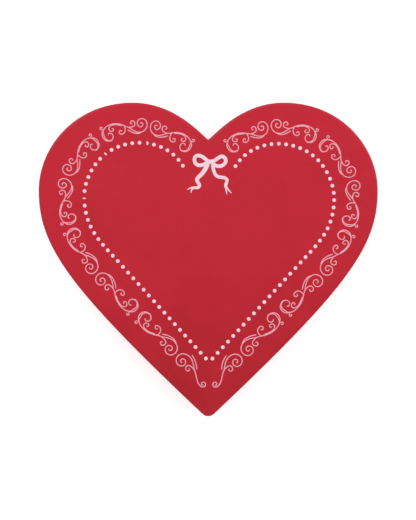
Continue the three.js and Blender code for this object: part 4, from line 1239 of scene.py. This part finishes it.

# The leaf spring is riveted to the bridge, its tip against the click; here it is one rigid piece.
CLICK_TURN = math.radians(60)  # the click's side of the drum
click_frame = Matrix.Translation((drum_axis.x, drum_axis.y, 0)) @ Matrix.Rotation(CLICK_TURN, 4, "Z")
LEAF_Y, LEAF_Z = 7.6, 37.2  # the leaf spring's place beside the click
RIVET_X, TIP_X = 7.6, 3.4
rivet, tip = (click_frame @ Vector((x, LEAF_Y, LEAF_Z)) * MM for x in (RIVET_X, TIP_X))
bends = ("case", "click", rivet, tip)
refined("click_spring", "click_leaf_spring", BLUED, 0.06, body=bends)

# ------ the lid's print

PRINT_SHIFT = 0.45  # the borders sit this far right of the lid's middle
PRINT_TILT = -0.0072  # and drop towards the right


# A stroke's cross-section: across, in half widths, and up, from -1 in the lacquer to 1 at the crown.
STROKE = [(-1, -0.6), (-0.92, 0.35), (-0.5, 0.9), (0, 1), (0.5, 0.9), (0.92, 0.35), (1, -0.6)]
# A dot's rings: share of its radius, and up.
DOT = [(1.0, -0.6), (0.97, 0.3), (0.8, 0.85), (0.45, 1.0), (0.12, 1.0)]


class Print:
    """Ink on the lid: raised, crowned strokes and dots."""

    def __init__(self, shift=PRINT_SHIFT, tilt=PRINT_TILT):
        self.shape = Shape()
        self.shift = shift
        self.tilt = tilt

    def on_lid(self, x, y, height):
        """A point of the print, height from -1, in the lacquer, to 1, the ink's crown."""
        return (x + self.shift, y + self.tilt * x, LID_TOP + height * INK_LIFT * 0.96)

    def stroke(self, line, half_width, mirrored=False):
        """A crowned ribbon along a line; half_width is a number or one for each point."""
        count = len(line)
        widths = half_width if isinstance(half_width, list) else [half_width] * count
        side = -1 if mirrored else 1
        rings = []
        for i, at in enumerate(line):
            ahead = line[min(i + 1, count - 1)] - line[max(i - 1, 0)]
            ahead.normalize()
            across = Vector((ahead.y, -ahead.x))
            end = min(i, count - 1 - i)
            w = widths[i] * (0.45 if end == 0 else 0.85 if end == 1 else 1.0)
            ring = []
            for a, h in STROKE:
                p = at + across * (a * w)
                ring.append(self.on_lid(side * p.x, p.y, h))
            rings.append(ring)
        self.shape.skin(rings)

    def dot(self, centre, radius, wide=1.0, high=1.0, turn=0.0, bite=0.0):
        """A crowned dot, stretched and turned; bite moves its left side in, leaving a crescent."""
        rings = []
        for share, h in DOT:
            ring = []
            for x, y in circle(28):
                if bite and x < 0:
                    x += 1.2 * bite * (1 - y * y) ** 0.5
                at = Vector((x * share * wide, y * share * high)) * radius
                at = Matrix.Rotation(turn, 2) @ at + centre
                ring.append(self.on_lid(at.x, at.y, h))
            rings.append(ring)
        self.shape.skin(rings)


def spiral(centre, r0, r1, start, sweep, power=1.0, step=10):
    """Points on a spiral: angles in degrees, radius from r0 to r1."""
    count = max(6, round(abs(sweep) / step))
    found = []
    for k in range(count + 1):
        share = k / count
        a = math.radians(start + sweep * share)
        r = r0 + (r1 - r0) * share**power
        found.append(Vector((centre[0] + r * math.cos(a), centre[1] + r * math.sin(a))))
    return found


# One scroll, drawn with u along the border and v inward, in millimetres: its parts are lists of points.
BIG_CURL = spiral((4.1, 2.9), 0.5, 3.9, 690, -600, 1.5)
TAIL_CURL = spiral((21.9, 5.5), 2.85, 0.7, -25, 340, 1.25)
STEM = [(5.8, 6.9), (7.6, 6.3), (9.2, 5.4), (10.7, 4.3), (12.0, 3.7), (13.1, 3.0), (14.6, 2.1),
        (16.6, 1.3), (18.6, 0.9), (20.8, 0.9), (22.7, 1.4), (24.0, 2.5)]
LEAF_CURL = [(11.6, 3.9), (10.8, 4.2), (9.1, 4.3), (7.5, 3.7), (7.3, 2.3), (8.2, 1.4), (9.3, 1.8),
             (9.3, 2.7), (8.6, 2.8)]
LONG_SCROLL = [
    [*BIG_CURL, *STEM, *TAIL_CURL],
    [(3.9, 7.1), (6.1, 7.5), (8.2, 7.1), (10.0, 6.3), (11.6, 5.2)],
    [(23.9, 2.0), (25.0, 3.1), (25.5, 4.9), (25.0, 6.6), (23.7, 7.6), (21.7, 8.1)],
    LEAF_CURL,
    [(12.9, 3.1), (12.7, 4.4), (13.0, 5.7), (14.1, 6.7), (15.6, 6.7), (16.4, 6.0), (16.0, 5.1),
     (15.0, 5.0), (14.9, 5.8)],
    [(14.0, 2.9), (16.2, 1.9), (18.2, 1.4), (19.7, 1.5), (20.8, 2.4), (20.7, 3.5), (19.7, 4.1),
     (18.9, 3.9), (18.8, 3.0), (19.5, 2.9)],
    [(23.4, 1.7), (24.3, 1.3), (24.7, 0.7), (24.2, 0.1), (23.5, 0.5), (23.9, 1.0)],
]
END_CURL = spiral((18.55, 2.75), 1.5, 0.45, -95, 450, 1.0)
SHORT_SCROLL = [
    [*BIG_CURL, (5.8, 6.9), (7.6, 6.3), (9.2, 5.4), (10.4, 4.6), (11.6, 4.0), (13.6, 2.9), (15.8, 1.7),
     (17.4, 1.2), *END_CURL],
    [(5.0, 8.3), (7.5, 7.7), (9.8, 6.6), (11.6, 5.2)],
    LEAF_CURL,
]
GUIDE = joined(
    (-0.4, 49.8),
    ((9.4, 60.2), (20.7, 66.6), (33.7, 66.6)),
    ((51.3, 66.6), (72.0, 51.5), (72.0, 29.7)),
    ((72.0, -6.6), (36.3, -21.5), (-9.4, -76.8)),
)
# Each scroll's start along the guide, its length with its way, and how far in it sits.
SCROLLS = [
    (33.35, -0.965, 0.1), (33.35, 1.0, 0.0), (87.7, -1.0, 0.0), (88.15, 0.975, 0.0),
    (140.9, -1.0, -0.35), (140.9, 1.0, -0.3), (194.6, -1.0, -0.3), (194.6, 1.0, -0.2),
]
LINE_HALF = 0.24  # half width of a printed line


def scroll_border():
    """Scrolls back to back in pairs along both halves of the lid."""
    guide = trace(GUIDE, 80)
    points = [p for p, _ in guide]
    inward = [Vector((d.y, -d.x)) for _, d in guide]
    run = lengths(points)
    ink_on = Print()
    for i, (place, way, inset) in enumerate(SCROLLS):
        for part in SHORT_SCROLL if i == len(SCROLLS) - 1 else LONG_SCROLL:
            line = []
            for u, v in smooth_line(part):
                s = place + way * u
                line.append(along(points, run, s) + along(inward, run, s).normalized() * (v + inset))
            for mirrored in (False, True):
                ink_on.stroke(line, LINE_HALF, mirrored)
    return ink_on.shape


# The dotted heart inside the scrolls, right half.
DOT_LOBE = joined(
    (12.4, 44.1),
    ((18.9, 54.6), (30.9, 54.8), (31.9, 54.8)),
    ((52.4, 54.8), (58.9, 37.5), (58.9, 29.5)),
    ((58.9, 14.6), (51.7, 8.3), (43.1, -1.1)),
)
LAST_DOT = (1.55, -46.7)  # the lowest, next to the heart's point
LOBE_DOTS = 29  # steps round the lobe, on each side
SIDE_DOTS = 17  # steps down the straight
DOT_R = 0.89


def dot_border():
    """Dots at even steps; three on the left lobe are misprinted."""
    lobe = spread([p for p, _ in trace(DOT_LOBE, 60)], LOBE_DOTS)
    side = spread([lobe[-1], Vector(LAST_DOT)], SIDE_DOTS)
    flaws = {
        6: {"bite": 0.65},
        12: {"wide": 0.42, "high": 0.95, "turn": 0.75},
        19: {"wide": 0.95, "high": 0.38},
    }
    ink_on = Print()
    for i, at in enumerate(lobe + side[1:]):
        ink_on.dot(at, DOT_R)
        ink_on.dot(Vector((-at.x, at.y)), DOT_R, **flaws.get(i, {}))
    return ink_on.shape

LOOP_HALF, KNOT_HALF = 0.9, 1.05  # half widths of the bow's ribbon


def bow():
    """A loose ribbon bow with two loops and two split tails."""
    loops = [
        [(0.6, 45.8), (-1.2, 47.2), (-2.9, 48.5), (-4.7, 49.0), (-6.2, 48.3), (-6.5, 46.8), (-6.0, 45.3),
         (-4.6, 44.4), (-2.9, 44.5), (-0.9, 45.3), (0.6, 45.6)],
        [(1.6, 45.8), (3.6, 47.0), (5.1, 48.1), (6.5, 48.6), (7.8, 47.9), (8.3, 46.4), (7.6, 45.0),
         (6.2, 44.1), (4.5, 44.0), (3.0, 44.5), (1.6, 45.4)],
    ]
    knot = [(-0.9, 45.6), (0.2, 45.9), (1.3, 46.1), (2.4, 46.0), (3.1, 45.7)]
    tails = [
        [(-0.2, 45.4), (-0.9, 43.6), (-1.9, 41.8), (-3.2, 40.1), (-4.7, 38.7), (-5.3, 37.7), (-4.9, 36.4),
         (-4.1, 35.0), (-4.6, 34.0), (-5.9, 33.8), (-7.3, 33.9)],
        [(2.0, 45.4), (2.3, 43.3), (2.8, 41.2), (4.1, 39.3), (6.2, 38.7), (7.7, 38.5), (8.8, 37.6),
         (8.7, 36.4), (8.3, 35.2), (8.4, 33.6)],
    ]
    splits = [
        [(-6.9, 34.0), (-8.6, 33.6), (-9.9, 32.8)],
        [(-7.0, 33.7), (-7.8, 32.8), (-8.2, 31.4)],
        [(8.3, 34.0), (8.5, 32.4), (8.8, 30.7)],
        [(8.6, 34.2), (9.8, 32.5), (11.1, 31.2)],
    ]
    ink_on = Print(shift=0.0, tilt=0.0)
    for line in loops:
        ink_on.stroke(smooth_line(line, 0.3), LOOP_HALF)
    ink_on.stroke(smooth_line(knot, 0.3), KNOT_HALF)
    for line, wide, slim in zip(tails, (1.1, 0.85), (0.6, 0.75)):
        path = smooth_line(line, 0.3)
        widths = [wide + (slim - wide) * (i / len(path)) ** 2 for i in range(len(path))]
        ink_on.stroke(path, widths)
    for line in splits:
        path = smooth_line(line, 0.2)
        ink_on.stroke(path, [0.5 - 0.34 * i / len(path) for i in range(len(path))])
    return ink_on.shape


piece("print_scrolls", scroll_border(), "lid", PINK_INK, hold=False)
piece("print_dots", dot_border(), "lid", WHITE_INK, hold=False)
piece("print_bow", bow(), "lid", BOW_INK, hold=False)

# ------ floor, light and camera


def floor():
    """A plain pale floor."""
    n = Nodes("floor")
    n.colour(n.ramp(n.noise(3, 2), 0.4, 0.6, [(246, 246, 246), (249, 249, 249)]))
    n.roughness(n.span(n.noise(60, 3), 0.3, 0.7, 0.75, 0.85))
    n.set(Specular_IOR_Level=0.1, Emission_Color=(1, 1, 1, 1), Emission_Strength=0.32)
    reach = 4000
    mesh = bpy.data.meshes.new("floor")
    z = cad_box[0].z - 0.0001
    across = [(-1, -1), (1, -1), (1, 1), (-1, 1)]
    mesh.from_pydata([(a * reach * MM, b * reach * MM, z) for a, b in across], [], [(0, 1, 2, 3)])
    mesh.materials.append(n.material)
    linked("floor", mesh)


def lamp(name, azimuth, elevation, distance, size, power, glossy=True):
    """A square softbox that looks at the object's middle. Angles are in degrees."""
    light = bpy.data.lights.new(name, "AREA")
    light.size = size
    light.energy = power
    obj = linked(name, light)
    a, e = math.radians(azimuth), math.radians(elevation)
    way = Vector((math.cos(a) * math.cos(e), math.sin(a) * math.cos(e), math.sin(e)))
    obj.location = way * distance
    obj.rotation_mode = "QUATERNION"
    obj.rotation_quaternion = (-way).to_track_quat("-Z", "Y")
    obj.visible_glossy = glossy


def camera():
    """Straight above the lid, far enough away to show no side."""
    view_height = 0.2451  # what the frame's long side spans at the lid's top
    above = 1.6
    aim = (-0.0001, -0.00026)  # how far off the lid's middle the lens looks
    data = bpy.data.cameras.new("camera")
    data.lens = data.sensor_width * above / view_height
    data.clip_end = 20
    obj = linked("camera", data)
    obj.location = (*aim, lid_hi.z * MM + above)
    bpy.context.scene.camera = obj


floor()
lamp("overhead_light", 90, 89, 2.2, 0.9, 18, glossy=False)
lamp("key_light", 125, 42, 1.5, 1.0, 8.5)
lamp("fill_light", 35, 40, 1.5, 1.0, 6.5)
lamp("front_light", -90, 40, 1.5, 1.2, 6.5)
world = bpy.data.worlds.new("studio")
world.use_nodes = True
sky = world.node_tree.nodes["Background"]
sky.inputs["Color"].default_value = (1.0, 1.0, 1.0, 1)
sky.inputs["Strength"].default_value = 0.25
bpy.context.scene.world = world
bpy.context.scene.view_settings.view_transform = "Standard"
camera()
